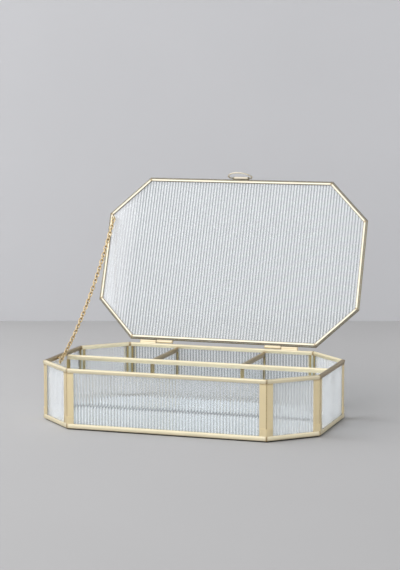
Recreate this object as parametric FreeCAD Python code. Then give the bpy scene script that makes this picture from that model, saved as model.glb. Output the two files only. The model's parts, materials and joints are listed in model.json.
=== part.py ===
"""Octagonal ribbed-glass jewelry box with a brass frame, a hinged lid and a chain lid stay.

Millimetres, +X to the right along the box, +Y to the back, +Z up.
The origin is the centre of the underside of the base pad.
The lid is modelled closed and then turned open about its hinge axis.
"""
import FreeCAD, Part
import math
import os

from FreeCAD import Placement, Rotation, Vector

# ---- overall frame -------------------------------------------------------
box_length = 265.0        # across the left and right rails
box_width = 166.0         # across the front and back rails
corner_cut = 38.5         # each leg of the 45 degree corner cuts
wall_height = 54.2        # underside of the bottom rails to the top of the top rails

# ---- sheet brass, glass and their fits -----------------------------------
brass_sheet = 0.4         # thickness of the rolled rails, posts and caps
glass_thickness = 2.0     # over the ribs
rib_pitch = 3.0
rib_height = 0.55
fit_gap = 0.1             # play between glass and brass
mitre_gap = 0.12          # open joint line between two mitred rails
rail_height = 3.8
corner_strip_leg = 6.6    # each leg of the outer corner strips
inner_strip_leg = 4.0
tab_height = 6.5          # soldered tabs at the foot of the corner strips
tab_sheet = 0.3

# ---- floor ---------------------------------------------------------------
pad_thickness = 1.6
pad_inset = 2.0
mirror_thickness = 3.0

# ---- dividers ------------------------------------------------------------
divider_glass = 2.0
divider_y = 7.0           # middle of the long divider
divider_x = 44.0          # middle of each short divider, left and right
divider_drop = 2.8        # top of the divider caps below the top of the rails
cap_height = 4.5
channel_width = 3.8       # upright channels that hold the dividers' ends
channel_depth = 3.0

# ---- lid -----------------------------------------------------------------
lid_gap = 0.4             # air between the closed lid and the top rails
lid_thickness = 3.2
lid_flange = 4.0          # how far the lid rails reach in over the glass
lid_open_angle = 111.4    # degrees from closed

# ---- hinges --------------------------------------------------------------
hinge_centres = (-66.8, 59.8)   # middle of each hinge along X
knuckle_length = 16.4
knuckle_gap = 0.4         # between the two knuckles of one hinge
knuckle_radius = 1.4
hinge_clearance = 0.3     # between a knuckle and the rail it turns past
hinge_rise = 1.2          # hinge axis above the top of the top rails
pin_radius = 0.75
pin_play = 0.05           # radial play of the pin in the lid knuckle
leaf_sheet = 0.5
leaf_height = 3.2         # of the base leaves, down the back rail
leaf_lap = 0.07           # how deep each leaf runs into its knuckle

# ---- lift handle ---------------------------------------------------------
tube_length = 16.0
tube_radius = 1.6
tube_drop = 0.4           # tube axis below the top of the lid
ring_width = 25.4
ring_reach = 14.0         # from the axle to the outside of the bow
ring_wire = 1.4           # wire diameter
ring_play = 0.08          # radial play of the ring in the tube
ring_corner = 4.0         # bend radius beside the tube
ring_rest_angle = 263.4   # direction of the bow from +Y, with the lid closed

# ---- chain ---------------------------------------------------------------
chain_wire = 0.9
chain_play = 0.06         # air between two links pulled apart
link_width = 4.2
links_per_run = (4, 4, 4, 4, 4, 4, 4, 4, 4, 4, 5)
chain_sag = 13.0          # of the open lid's chain below the straight line
chain_x = 5.9             # chain's plane in from the outside of the left rail
base_end_back = 27.5      # start of the chain, behind the front end of the left rails
base_end_drop = 5.7       # and below the top of the rails
lid_end_back = 6.5        # its end with the lid closed, behind the same end
lid_end_drop = 2.2        # and below the lid
eye_radius = 1.6          # middle of the wire of each soldered eye

# ---- derived levels ------------------------------------------------------
rail_bottom = pad_thickness
rail_top = pad_thickness + wall_height
glass_outer = brass_sheet + fit_gap + brass_sheet + fit_gap
glass_inner = glass_outer + glass_thickness
rail_width = glass_inner + fit_gap + brass_sheet
mirror_top = rail_bottom + mirror_thickness
lower_flange_top = rail_bottom + rail_height
upper_flange_bottom = rail_top - rail_height
cap_top = rail_top - divider_drop
cap_width = divider_glass + 2 * (fit_gap + brass_sheet)
lid_bottom = rail_top + lid_gap
lid_top = lid_bottom + lid_thickness
lid_glass_bottom = lid_bottom + (lid_thickness - glass_thickness) / 2
left_rail_front = -box_width / 2 + corner_cut
hinge_y = box_width / 2 + knuckle_radius + hinge_clearance
hinge_z = rail_top + hinge_rise

SIDES = ("front", "front_right", "right", "back_right", "back", "back_left", "left", "front_left")
CORNER_SIDES = (1, 3, 5, 7)


def save(name, shapes):
    """Write one sub-part, a solid or a group of solids, to its own file."""
    shape = shapes if isinstance(shapes, Part.Shape) else Part.makeCompound(shapes)
    shape.exportStep("parts/" + name + ".step")


def fuse(first, *others):
    return first.multiFuse(list(others)).removeSplitter()


def prism(points, bottom, top):
    """Upright prism over a plan outline."""
    loop = [Vector(x, y, bottom) for x, y in points]
    face = Part.Face(Part.makePolygon(loop + loop[:1]))
    return face.extrude(Vector(0, 0, top - bottom))


def block(x0, x1, y0, y1, z0, z1):
    return Part.makeBox(x1 - x0, y1 - y0, z1 - z0, Vector(x0, y0, z0))


def rod(start, end, radius):
    """Round bar between two points."""
    axis = end - start
    return Part.makeCylinder(radius, axis.Length, start, axis)


def octagon(inset):
    """Corners of the plan outline moved in by inset, counter-clockwise from the front side's left end."""
    half_length = box_length / 2 - inset
    half_width = box_width / 2 - inset
    cut = corner_cut - inset * (2 - math.sqrt(2))
    return [
        (-half_length + cut, -half_width), (half_length - cut, -half_width),
        (half_length, -half_width + cut), (half_length, half_width - cut),
        (half_length - cut, half_width), (-half_length + cut, half_width),
        (-half_length, half_width - cut), (-half_length, -half_width + cut),
    ]


def side_ends(side, inset):
    """The two ends of one side, as vectors, and the unit vector from the first to the second."""
    corners = octagon(inset)
    start = Vector(*corners[side], 0)
    end = Vector(*corners[(side + 1) % 8], 0)
    return start, end, (end - start).normalize()


def mitred_bar(side, outer, inner, bottom, top):
    """Bar along one side between two insets, mitred at both ends with half a joint line left open."""
    start, end, along = side_ends(side, outer)
    inner_start, inner_end, _ = side_ends(side, inner)
    back_off = along * (mitre_gap / 2)
    loop = (start + back_off, end - back_off, inner_end - back_off, inner_start + back_off)
    return prism([(p.x, p.y) for p in loop], bottom, top)


def wall_rail(side, web_bottom, flange_bottom):
    """Channel rail of the base along one side: a flat web with an outer and an inner flange."""
    web = mitred_bar(side, 0, rail_width, web_bottom, web_bottom + brass_sheet)
    outer = mitred_bar(side, 0, brass_sheet, flange_bottom, flange_bottom + rail_height)
    inner = mitred_bar(side, rail_width - brass_sheet, rail_width, flange_bottom, flange_bottom + rail_height)
    return fuse(web, outer, inner)


def top_rail(side):
    return wall_rail(side, rail_top - brass_sheet, upper_flange_bottom)


def bottom_rail(side):
    return wall_rail(side, rail_bottom, rail_bottom)


def lid_rail(side):
    """Channel rail of the closed lid, open towards the glass."""
    wall = mitred_bar(side, 0, brass_sheet, lid_bottom, lid_top)
    lower = mitred_bar(side, 0, lid_flange, lid_bottom, lid_bottom + brass_sheet)
    upper = mitred_bar(side, 0, lid_flange, lid_top - brass_sheet, lid_top)
    return fuse(wall, lower, upper)


def ribbed_profile(length):
    """Face in the XZ plane: flat along z = 0 and scalloped on the far side, length long from x = 0."""
    valley = glass_thickness - rib_height
    count = int(length / rib_pitch)
    margin = (length - count * rib_pitch) / 2
    edges = []
    for rib in range(count):
        left = margin + rib * rib_pitch
        edges.append(Part.Arc(
            Vector(left, 0, valley),
            Vector(left + rib_pitch / 2, 0, glass_thickness),
            Vector(left + rib_pitch, 0, valley)).toShape())
    outline = [
        (length - margin, valley), (length, valley), (length, 0), (0, 0), (0, valley), (margin, valley)]
    points = [Vector(x, 0, z) for x, z in outline]
    edges += [Part.makeLine(a, b) for a, b in zip(points, points[1:]) if (b - a).Length > 1e-6]
    return Part.Face(Part.Wire(edges))


def wall_glass(side):
    """Upright ribbed pane of one side, ribs outside."""
    start, end, along = side_ends(side, glass_inner)
    length = (end - start).Length - 2 * fit_gap
    height = wall_height - 2 * brass_sheet - fit_gap
    pane = ribbed_profile(length).extrude(Vector(0, height, 0))
    outward = Vector(along.y, -along.x, 0)
    pane.Placement = Placement(
        start + along * fit_gap + Vector(0, 0, rail_bottom + brass_sheet),
        Rotation(along, Vector(0, 0, 1), outward, "ZXY"))
    return pane


def corner_strip(corner, outer, inner, leg, bottom, top):
    """Strip bent round one corner between two insets, its legs measured on its outer face."""
    outer_corner, _, along = side_ends(corner, outer)
    inner_corner = Vector(*octagon(inner)[corner], 0)
    _, _, before = side_ends((corner - 1) % 8, outer)
    in_after = Vector(-along.y, along.x, 0) * (inner - outer)
    in_before = Vector(-before.y, before.x, 0) * (inner - outer)
    tip_after = outer_corner + along * leg
    tip_before = outer_corner - before * leg
    loop = (tip_before, outer_corner, tip_after, tip_after + in_after, inner_corner, tip_before + in_before)
    return prism([(p.x, p.y) for p in loop], bottom, top)


def base_frame():
    """Pad, mirror floor, ribbed walls, rails and corner strips."""
    save("base_pad", prism(octagon(pad_inset), 0, pad_thickness))
    save("mirror_floor", prism(octagon(rail_width + fit_gap), rail_bottom, mirror_top))
    for side, name in enumerate(SIDES):
        save("wall_glass_" + name, wall_glass(side))
        save("top_rail_" + name, top_rail(side))
        if side not in CORNER_SIDES:
            save("bottom_rail_" + name, bottom_rail(side))
    save("bottom_rail_corners", [bottom_rail(side) for side in CORNER_SIDES])
    strip_face = brass_sheet + fit_gap
    save("corner_strips", [
        corner_strip(corner, strip_face, strip_face + brass_sheet, corner_strip_leg,
                     rail_bottom + brass_sheet, rail_top - brass_sheet)
        for corner in range(8)])
    save("inner_corner_strips", [
        corner_strip(corner, rail_width - brass_sheet, rail_width, inner_strip_leg,
                     lower_flange_top, upper_flange_bottom)
        for corner in range(8)])
    save("corner_foot_tabs", [
        corner_strip(corner, strip_face - tab_sheet, strip_face, corner_strip_leg,
                     lower_flange_top, lower_flange_top + tab_height)
        for corner in range(8)])


def cap(length):
    """Channel cap over a divider, along X from the origin, with its top at the cap level."""
    half = cap_width / 2
    web = block(0, length, -half, half, cap_top - brass_sheet, cap_top)
    front = block(0, length, -half, -half + brass_sheet, cap_top - cap_height, cap_top)
    back = block(0, length, half - brass_sheet, half, cap_top - cap_height, cap_top)
    return fuse(web, front, back)


def end_channel():
    """Upright channel for the end of a divider: its web on the YZ plane, open towards +X."""
    half = channel_width / 2
    bottom, top = lower_flange_top, cap_top - cap_height
    web = block(0, brass_sheet, -half, half, bottom, top)
    left = block(0, channel_depth, -half, -half + brass_sheet, bottom, top)
    right = block(0, channel_depth, half - brass_sheet, half, bottom, top)
    return fuse(web, left, right)


def divider_pane(length):
    """Plain glass divider along X from the origin."""
    half = divider_glass / 2
    return block(0, length, -half, half, mirror_top, cap_top - brass_sheet - fit_gap)


def turned(shape, x, y, degrees):
    """A copy turned about Z at the origin and then moved to x, y."""
    placed = shape.copy()
    placed.Placement = Placement(Vector(x, y, 0), Rotation(Vector(0, 0, 1), degrees))
    return placed


def dividers():
    """One long divider along X and two short ones from it to the back wall, with caps and end channels."""
    end_gap = brass_sheet + fit_gap
    wall_x = box_length / 2 - glass_inner
    wall_y = box_width / 2 - glass_inner
    rail_x = box_length / 2 - rail_width - fit_gap
    rail_y = box_width / 2 - rail_width - fit_gap
    pane_x = wall_x - end_gap
    save("long_divider_glass", turned(divider_pane(2 * pane_x), -pane_x, divider_y, 0))
    save("long_divider_cap", turned(cap(2 * rail_x), -rail_x, divider_y, 0))
    behind = divider_y + divider_glass / 2
    behind_cap = divider_y + cap_width / 2 + fit_gap
    short_pane = divider_pane(wall_y - behind - 2 * end_gap)
    short_cap = cap(rail_y - behind_cap)
    channels = [turned(end_channel(), -wall_x, divider_y, 0), turned(end_channel(), wall_x, divider_y, 180)]
    for name, x in (("left", -divider_x), ("right", divider_x)):
        save("short_divider_glass_" + name, turned(short_pane, x, behind + end_gap, 90))
        save("short_divider_cap_" + name, turned(short_cap, x, behind_cap, 90))
        channels.append(turned(end_channel(), x, behind, 90))
        channels.append(turned(end_channel(), x, wall_y, -90))
    save("divider_end_channels", channels)


def opened(shape):
    """A copy of a piece of the closed lid, turned with the lid to its open position."""
    placed = shape.copy()
    placed.rotate(Vector(0, hinge_y, hinge_z), Vector(1, 0, 0), -lid_open_angle)
    return placed


def lid_glass():
    """Ribbed pane of the closed lid: ribs on top, running from front to back."""
    edge = brass_sheet + 2 * fit_gap
    slab = ribbed_profile(box_length).extrude(Vector(0, box_width, 0))
    slab.translate(Vector(-box_length / 2, -box_width / 2, lid_glass_bottom))
    return slab.common(prism(octagon(edge), lid_bottom, lid_top))


def knuckle(start, end, bore, leaf):
    """Tube on the hinge axis from start to end along X, soldered to a leaf with the given YZ outline."""
    tube = rod(Vector(start, hinge_y, hinge_z), Vector(end, hinge_y, hinge_z), knuckle_radius)
    loop = [Vector(start, y, z) for y, z in leaf]
    plate = Part.Face(Part.makePolygon(loop + loop[:1])).extrude(Vector(end - start, 0, 0))
    hole = rod(Vector(start - 1, hinge_y, hinge_z), Vector(end + 1, hinge_y, hinge_z), bore)
    return fuse(tube, plate).cut(hole)


def base_leaf():
    """Outline of the leaf down the outside of the back rail, running up under the knuckle."""
    back = box_width / 2
    return [
        (back, rail_top - leaf_height), (back + leaf_sheet, rail_top - leaf_height),
        (hinge_y, hinge_z - knuckle_radius + leaf_lap), (hinge_y - knuckle_radius / 2, rail_top),
        (back, rail_top)]


def lid_leaf():
    """Outline of the leaf up the outside of the lid's back rail, running over the knuckle."""
    back = box_width / 2
    foot = lid_bottom + brass_sheet
    head = lid_top - fit_gap
    return [
        (back, foot), (hinge_y - knuckle_radius + hinge_clearance, foot),
        (hinge_y, hinge_z + knuckle_radius - leaf_lap), (back + leaf_sheet, head), (back, head)]


def hinges():
    """Two barrel hinges: the outer knuckle of each on the base, the inner one on the lid."""
    base_knuckles, lid_knuckles, pins = [], [], []
    for centre in hinge_centres:
        outward = math.copysign(1, centre)
        inner_end = centre - outward * (knuckle_length + knuckle_gap / 2)
        outer_end = centre + outward * (knuckle_length + knuckle_gap / 2)
        lid_side = sorted((inner_end, centre - outward * knuckle_gap / 2))
        base_side = sorted((centre + outward * knuckle_gap / 2, outer_end))
        base_knuckles.append(knuckle(*base_side, pin_radius, base_leaf()))
        lid_knuckles.append(opened(knuckle(*lid_side, pin_radius + pin_play, lid_leaf())))
        pins.append(rod(Vector(inner_end, hinge_y, hinge_z), Vector(outer_end, hinge_y, hinge_z), pin_radius))
    save("hinge_base_knuckles", base_knuckles)
    save("hinge_lid_knuckles", lid_knuckles)
    save("hinge_pins", pins)


def handle():
    """Tube on the lid's front edge, and the wire ring that swings in it."""
    wire = ring_wire / 2
    axis_y = -box_width / 2 - tube_radius
    axis_z = lid_top - tube_drop
    half = tube_length / 2
    tube = rod(Vector(-half, axis_y, axis_z), Vector(half, axis_y, axis_z), tube_radius)
    bore = rod(Vector(-half - 1, axis_y, axis_z), Vector(half + 1, axis_y, axis_z), wire + ring_play)
    save("handle_tube", opened(tube.cut(bore)))
    ring = ring_solid(wire)
    ring.Placement = Placement(Vector(0, axis_y, axis_z), Rotation(Vector(1, 0, 0), ring_rest_angle))
    save("handle_ring", opened(ring))


def bent_wire(wire, centre, radius, start, sweep):
    """Round wire bent about a centre in the XY plane, from a start angle through a sweep in degrees."""
    direction = Vector(math.cos(math.radians(start)), math.sin(math.radians(start)), 0)
    tangent = Vector(-direction.y, direction.x, 0)
    section = Part.Face(Part.Wire(Part.makeCircle(wire, centre + direction * radius, tangent)))
    return section.revolve(centre, Vector(0, 0, 1), sweep)


def ring_solid(wire):
    """Closed wire bow: a straight axle along X, two tight bends and a wide arc tangent to both, along +Y."""
    side = ring_width / 2 - wire
    reach = ring_reach - wire
    bend_x = side - ring_corner
    rise = reach - ring_corner
    bow_y = (rise ** 2 - bend_x ** 2 - ring_corner ** 2) / (2 * (rise - ring_corner))
    meeting = math.degrees(math.atan2(ring_corner - bow_y, bend_x))
    axle = rod(Vector(-bend_x, 0, 0), Vector(bend_x, 0, 0), wire)
    bend = bent_wire(wire, Vector(bend_x, ring_corner, 0), ring_corner, -90, 90 + meeting)
    far_bend = bend.mirror(Vector(0, 0, 0), Vector(1, 0, 0))
    bow = bent_wire(wire, Vector(0, bow_y, 0), reach - bow_y, meeting, 180 - 2 * meeting)
    return fuse(axle, bend, bow, far_bend)


def lid():
    """Ribbed pane in eight mitred rails, turned open."""
    save("lid_glass", opened(lid_glass()))
    for side, name in enumerate(SIDES):
        save("lid_rail_" + name, opened(lid_rail(side)))


def chain_curve():
    """Start, end and point function of the chain's rest curve, a shallow parabola in a YZ plane."""
    x = -box_length / 2 + chain_x
    start = Vector(x, left_rail_front + base_end_back, rail_top - base_end_drop)
    closed_end = Part.Vertex(Vector(x, left_rail_front + lid_end_back, lid_bottom - lid_end_drop))
    end = opened(closed_end).Point

    def point(share):
        drop = 4 * chain_sag * share * (1 - share)
        return start + (end - start) * share - Vector(0, 0, drop)

    return start, end, point


def even_points(point, count):
    """Count + 1 points at even distances along the curve, and that distance."""
    steps = 4000
    fine = [point(i / steps) for i in range(steps + 1)]
    travelled = [0.0]
    for a, b in zip(fine, fine[1:]):
        travelled.append(travelled[-1] + (b - a).Length)
    pitch = travelled[-1] / count
    found, i = [fine[0]], 0
    for n in range(1, count):
        while travelled[i + 1] < n * pitch:
            i += 1
        share = (n * pitch - travelled[i]) / (travelled[i + 1] - travelled[i])
        found.append(fine[i] + (fine[i + 1] - fine[i]) * share)
    return found + [fine[-1]], pitch


def link_solid(pitch):
    """Long link centred on the origin, along X, lying in the XY plane."""
    wire = chain_wire / 2
    bend = link_width / 2 - wire
    half = (pitch + chain_play + chain_wire) / 2 - bend
    section = Part.Face(Part.Wire(Part.makeCircle(wire, Vector(0, bend, 0), Vector(1, 0, 0))))
    leg = section.extrude(Vector(2 * half, 0, 0))
    leg.translate(Vector(-half, 0, 0))
    far_leg = leg.mirror(Vector(0, 0, 0), Vector(0, 1, 0))
    bow = section.revolve(Vector(0, 0, 0), Vector(0, 0, 1), -180)
    bow.translate(Vector(half, 0, 0))
    far_bow = bow.mirror(Vector(0, 0, 0), Vector(1, 0, 0))
    return Part.makeSolid(fuse(leg, bow, far_leg, far_bow).Shells[0])


def along_chain(shape, middle, along, on_edge):
    """A copy with its X axis along the chain, flat across the box or on edge in the chain's plane."""
    across = Vector(1, 0, 0)
    normal = across.cross(along)
    width, face = (normal, across) if on_edge else (across, normal)
    placed = shape.copy()
    placed.Placement = Placement(middle, Rotation(along, width, face, "XZY"))
    return placed


def eye(middle, shank):
    """Wire ring in a YZ plane with a bent shank through the given points."""
    wire = chain_wire / 2
    ring = Part.makeTorus(eye_radius, wire, middle, Vector(1, 0, 0))
    bars = [rod(a, b, wire) for a, b in zip(shank, shank[1:])]
    elbows = [Part.makeSphere(wire, p) for p in shank[1:-1]]
    return fuse(ring, *bars, *elbows)


def chain():
    """Two soldered eyes and the links between them, in short runs that follow the lid."""
    start, end, point = chain_curve()
    count = sum(links_per_run)
    points, pitch = even_points(point, count)
    link = link_solid(pitch)
    first = 0
    for run, size in enumerate(links_per_run, 1):
        links = []
        for n in range(first, first + size):
            middle = (points[n] + points[n + 1]) * 0.5
            along = (points[n + 1] - points[n]).normalize()
            links.append(along_chain(link, middle, along, n % 2 == 1))
        save("chain_run_%02d" % run, links)
        first += size
    hook = eye_radius - (chain_wire + chain_play) / 2
    base_middle = start - (points[1] - points[0]).normalize() * hook
    flange = Vector(-box_length / 2 + rail_width, base_middle.y, rail_top - rail_height / 2)
    elbow = Vector(base_middle.x, base_middle.y, flange.z)
    save("base_chain_eye", eye(base_middle, (flange, elbow, base_middle + Vector(0, 0, eye_radius))))
    lid_middle = end + (points[-1] - points[-2]).normalize() * hook
    closed_middle = Part.Vertex(lid_middle)
    closed_middle.rotate(Vector(0, hinge_y, hinge_z), Vector(1, 0, 0), lid_open_angle)
    lid_middle = closed_middle.Point
    crown = lid_middle + Vector(0, 0, eye_radius)
    edge = Vector(-box_length / 2 + lid_flange, crown.y, crown.z)
    save("lid_chain_eye", opened(eye(lid_middle, (edge, crown))))
    print("chain", round(pitch * count, 2), "mm,", count, "links of pitch", round(pitch, 3))


os.makedirs("parts", exist_ok=True)
base_frame()
dividers()
lid()
hinges()
handle()
chain()
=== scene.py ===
"""Looks of an octagonal ribbed-glass jewelry box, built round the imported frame.

Rolled brass rails, folded corner strips, pressed ribbed panes, clear dividers, a mirror floor, barrel
hinges, a lift ring and a chain stay are modelled as separate pieces. Everything is in metres, +Z up.
Pieces of the lid are modelled on the closed box and then turned open about the hinge axis.
"""

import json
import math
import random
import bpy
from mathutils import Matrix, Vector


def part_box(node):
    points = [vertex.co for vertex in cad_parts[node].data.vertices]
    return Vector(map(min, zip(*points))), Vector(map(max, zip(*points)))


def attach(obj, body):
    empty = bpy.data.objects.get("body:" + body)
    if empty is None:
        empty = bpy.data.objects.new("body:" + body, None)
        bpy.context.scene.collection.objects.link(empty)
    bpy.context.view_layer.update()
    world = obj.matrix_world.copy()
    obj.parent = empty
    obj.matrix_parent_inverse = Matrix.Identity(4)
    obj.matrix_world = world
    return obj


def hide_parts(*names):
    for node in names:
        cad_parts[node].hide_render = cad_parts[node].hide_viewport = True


bl_info = {
    "name": "Ribbed glass jewelry box",
    "version": (1, 0, 0),
    "blender": (4, 5, 0),
    "location": "3D View > Sidebar > Jewelry Box",
    "description": "Builds the visible pieces of a brass-framed ribbed-glass jewelry box and its studio",
    "category": "Add Mesh",
}

import bmesh
import bpy
from bpy.props import FloatProperty, FloatVectorProperty, IntProperty, PointerProperty
from mathutils import Matrix, Vector, noise

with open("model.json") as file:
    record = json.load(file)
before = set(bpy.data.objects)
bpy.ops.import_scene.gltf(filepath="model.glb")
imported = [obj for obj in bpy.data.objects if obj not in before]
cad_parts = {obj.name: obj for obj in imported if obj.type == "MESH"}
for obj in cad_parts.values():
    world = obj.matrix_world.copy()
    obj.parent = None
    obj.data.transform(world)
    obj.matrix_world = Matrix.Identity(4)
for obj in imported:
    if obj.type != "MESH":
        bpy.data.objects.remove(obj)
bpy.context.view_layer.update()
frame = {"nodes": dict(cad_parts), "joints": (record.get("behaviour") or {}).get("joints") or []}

MM = 0.001
X_AXIS = Vector((1, 0, 0))
Y_AXIS = Vector((0, 1, 0))
Z_AXIS = Vector((0, 0, 1))
SIDES = ("front", "front_right", "right", "back_right", "back", "back_left", "left", "front_left")
CORNER_SIDES = (1, 3, 5, 7)
UNMARKED = 1.0  # a distance, in metres, from a seam or a contact, that neither heat stain nor painted shade reaches

# ---- sizes of the box, read from the frame ---------------------------------------------------------

RAIL_LOW, RAIL_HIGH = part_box("top_rail_front")
FOOT_LOW, FOOT_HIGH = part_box("bottom_rail_front")
GLASS_LOW, GLASS_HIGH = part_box("wall_glass_front")
STRIP_LOW, STRIP_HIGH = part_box("corner_strips")
INNER_STRIP_LOW, INNER_STRIP_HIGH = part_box("inner_corner_strips")
TAB_LOW, TAB_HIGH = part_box("corner_foot_tabs")
FLOOR_LOW, FLOOR_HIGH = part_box("mirror_floor")
PAD_LOW, PAD_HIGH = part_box("base_pad")

HALF_LENGTH = -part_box("top_rail_left")[0].x
HALF_WIDTH = -RAIL_LOW.y
MITRE_GAP = 0.12 * MM
FIT_GAP = 0.1 * MM
SHEET = 0.4 * MM
CORNER_CUT = HALF_LENGTH - RAIL_HIGH.x - MITRE_GAP / 2
RAIL_WIDTH = RAIL_HIGH.y - RAIL_LOW.y
RAIL_TOP = RAIL_HIGH.z
GLASS_INNER = GLASS_HIGH.y - RAIL_LOW.y
GLASS_THICKNESS = GLASS_HIGH.y - GLASS_LOW.y
STRIP_INSET = STRIP_LOW.y - RAIL_LOW.y
TAB_INSET = TAB_LOW.y - RAIL_LOW.y

LID_JOINT = next(joint for joint in frame["joints"] if joint["name"] == "lid_hinge")
HINGE = Vector(LID_JOINT["pos_m"])
LID_OPEN = math.radians(LID_JOINT["range_deg"][1])
RING_JOINT = next(joint for joint in frame["joints"] if joint["name"] == "ring_swing")
RING_AXLE = Vector(RING_JOINT["pos_m"])


def turn_about(point, angle):
    """Turn about an axis along X through a point."""
    return Matrix.Translation(point) @ Matrix.Rotation(angle, 4, "X") @ Matrix.Translation(-point)


OPENING = turn_about(HINGE, -LID_OPEN)
CLOSING = turn_about(HINGE, LID_OPEN)


def closed_box(node):
    """Lowest and highest corner of one of the lid's nodes when the lid is closed."""
    points = [CLOSING @ vertex.co for vertex in frame["nodes"][node].data.vertices]
    low = Vector(min(point[axis] for point in points) for axis in range(3))
    high = Vector(max(point[axis] for point in points) for axis in range(3))
    return low, high


LID_LOW, LID_HIGH = closed_box("lid_rail_front")
LID_GLASS_LOW, LID_GLASS_HIGH = closed_box("lid_glass")

# ---- sizes of the visible pieces -------------------------------------------------------------------

MITRE_STEPS = [MITRE_GAP / 2, 0.6 * MM, 1.5 * MM, 3 * MM, 6 * MM, 12 * MM]
LIP_SLACK = 0.08 * MM  # play of a channel's inner face beside its lip
PAD_AIR = 0.3 * MM  # air between the foot rails and the pad's side
LUMP_DEPTH, LUMP_SCALE = 0.16, 1.3  # unevenness of a solder bead of radius 1

# Folded strips: a leg is how far one reaches to each side of its fold.
STRIP_LEG, STRIP_GROOVE, STRIP_EASE = 6.6 * MM, 0.22 * MM, 0.08 * MM
INNER_LEG, INNER_GROOVE = 3.6 * MM, 0.05 * MM
TIN_LEG, TIN_DEPTH = 1.5 * MM, 0.15 * MM
FOLD_REACH = 1.2 * MM  # half the width of the rounded fold
FOLD_STAIN = 2.2  # how much narrower the heat stain is along a fold than the painted shade at a strip's end

PANE_KINDS = {"front": "front", "back": "back", "right": "right", "front_right": "right"}
# Painted shade in the grooves rises between these shares.
GROOVE_START, GROOVE_FULL = 0.3, 0.8  # shares of the way from a rib's middle to the valley
LOW_RIB_START, LOW_RIB_SPAN = 6 * MM, 26 * MM  # stretch of the lid's pane where the ribs grow sharp
LOW_RIB_LEAST, LOW_RIB_DEPTH = 0.12, 0.6  # sharpness left at the end, and share of a rib's height that is lost
MIRROR_RIM = 1.8 * MM  # width of the dark rim band: painted shade where the walls meet the floor, and their seal
SHADOW_CLEAR = 0.94  # share of the glass's colour in the light that a lamp sends through it

SEAL_SIZE, SEAL_INSET = 1.1 * MM, 4 * MM
END_HALF, END_DEPTH = 1.6 * MM, 3.0 * MM  # half width and depth of the upright channels

KNUCKLE_RADIUS, KNUCKLE_EASE = 1.4 * MM, 0.15 * MM
# Where the leaves leave their knuckles: distance from the axis, and degrees round it.
LEAF_ROOT, BASE_LEAF_TURN, LID_LEAF_TURN = 0.97 * KNUCKLE_RADIUS, 200, 197
LEAF_DROP, LEAF_SHEET = 3.2 * MM, 0.5 * MM
PIN_WIRE, PIN_HEAD, PIN_DOME, PIN_STEP = 0.75 * MM, 1.05 * MM, 0.3 * MM, 0.02 * MM
LATHE_SIDES = 28

TUBE_RADIUS, TUBE_BORE, TUBE_BORE_DEPTH, TUBE_EASE = 1.6 * MM, 0.8 * MM, 0.4 * MM, 0.2 * MM
RING_WIDTH, RING_REACH, RING_BEND, RING_WIRE = 25.4 * MM, 14.0 * MM, 4.0 * MM, 0.7 * MM
RING_SIDES, RING_TILT = 16, math.radians(263.4)
# Solder beads: reach along each axis in millimetres, and seed of the lumps.
TUBE_BEAD, BASE_EYE_BEAD, LID_EYE_BEAD = ((1.0, 0.7, 1.3), 5), ((0.7, 1.6, 1.1), 3), ((1.2, 2.0, 0.85), 9)

# Ends of the chain: at the base, and at the lid when it is closed.
CHAIN_START = Vector((-126.6, -17.0, 50.1)) * MM
CHAIN_END_CLOSED = Vector((-126.6, -38.0, 54.0)) * MM
LINKS_PER_RUN = (4, 4, 4, 4, 4, 4, 4, 4, 4, 4, 5)
CHAIN_STEPS = 4000
SWAY_SEED = 45
EYE_RADIUS = 1.6 * MM
WIRE_SIDES = 10

# Places and directions in the studio: to the right, ahead and up, as the camera looks, in metres.
KEY_PLACE, RIM_PLACE = (-1.4, -0.1, 1.1), (1.05, 0.5, 0.16)
BRIGHT_END, GLEAM_END = (-1, -0.35, 0.45), (0.97, -0.71, 0.2)
FLOOR_REACH, WALL_HEIGHT = 4.0, 2.4

# ---- settings ---------------------------------------------------------------------------------------


def length(name, text, default):
    """Setting in metres."""
    return FloatProperty(name=name, description=text, default=default, min=0.0, precision=5, unit="LENGTH")


def share(name, text, default):
    """Setting from 0 to 1."""
    return FloatProperty(name=name, description=text, default=default, min=0.0, max=1.0, subtype="FACTOR")


def strength(name, text, default, unit="NONE"):
    """Setting for the strength of a light."""
    return FloatProperty(name=name, description=text, default=default, min=0.0, unit=unit)


def colour(name, text, default):
    """Setting for a colour, in linear red, green and blue."""
    return FloatVectorProperty(name=name, description=text, default=default, size=3, min=0.0,
                               subtype="COLOR")


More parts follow.
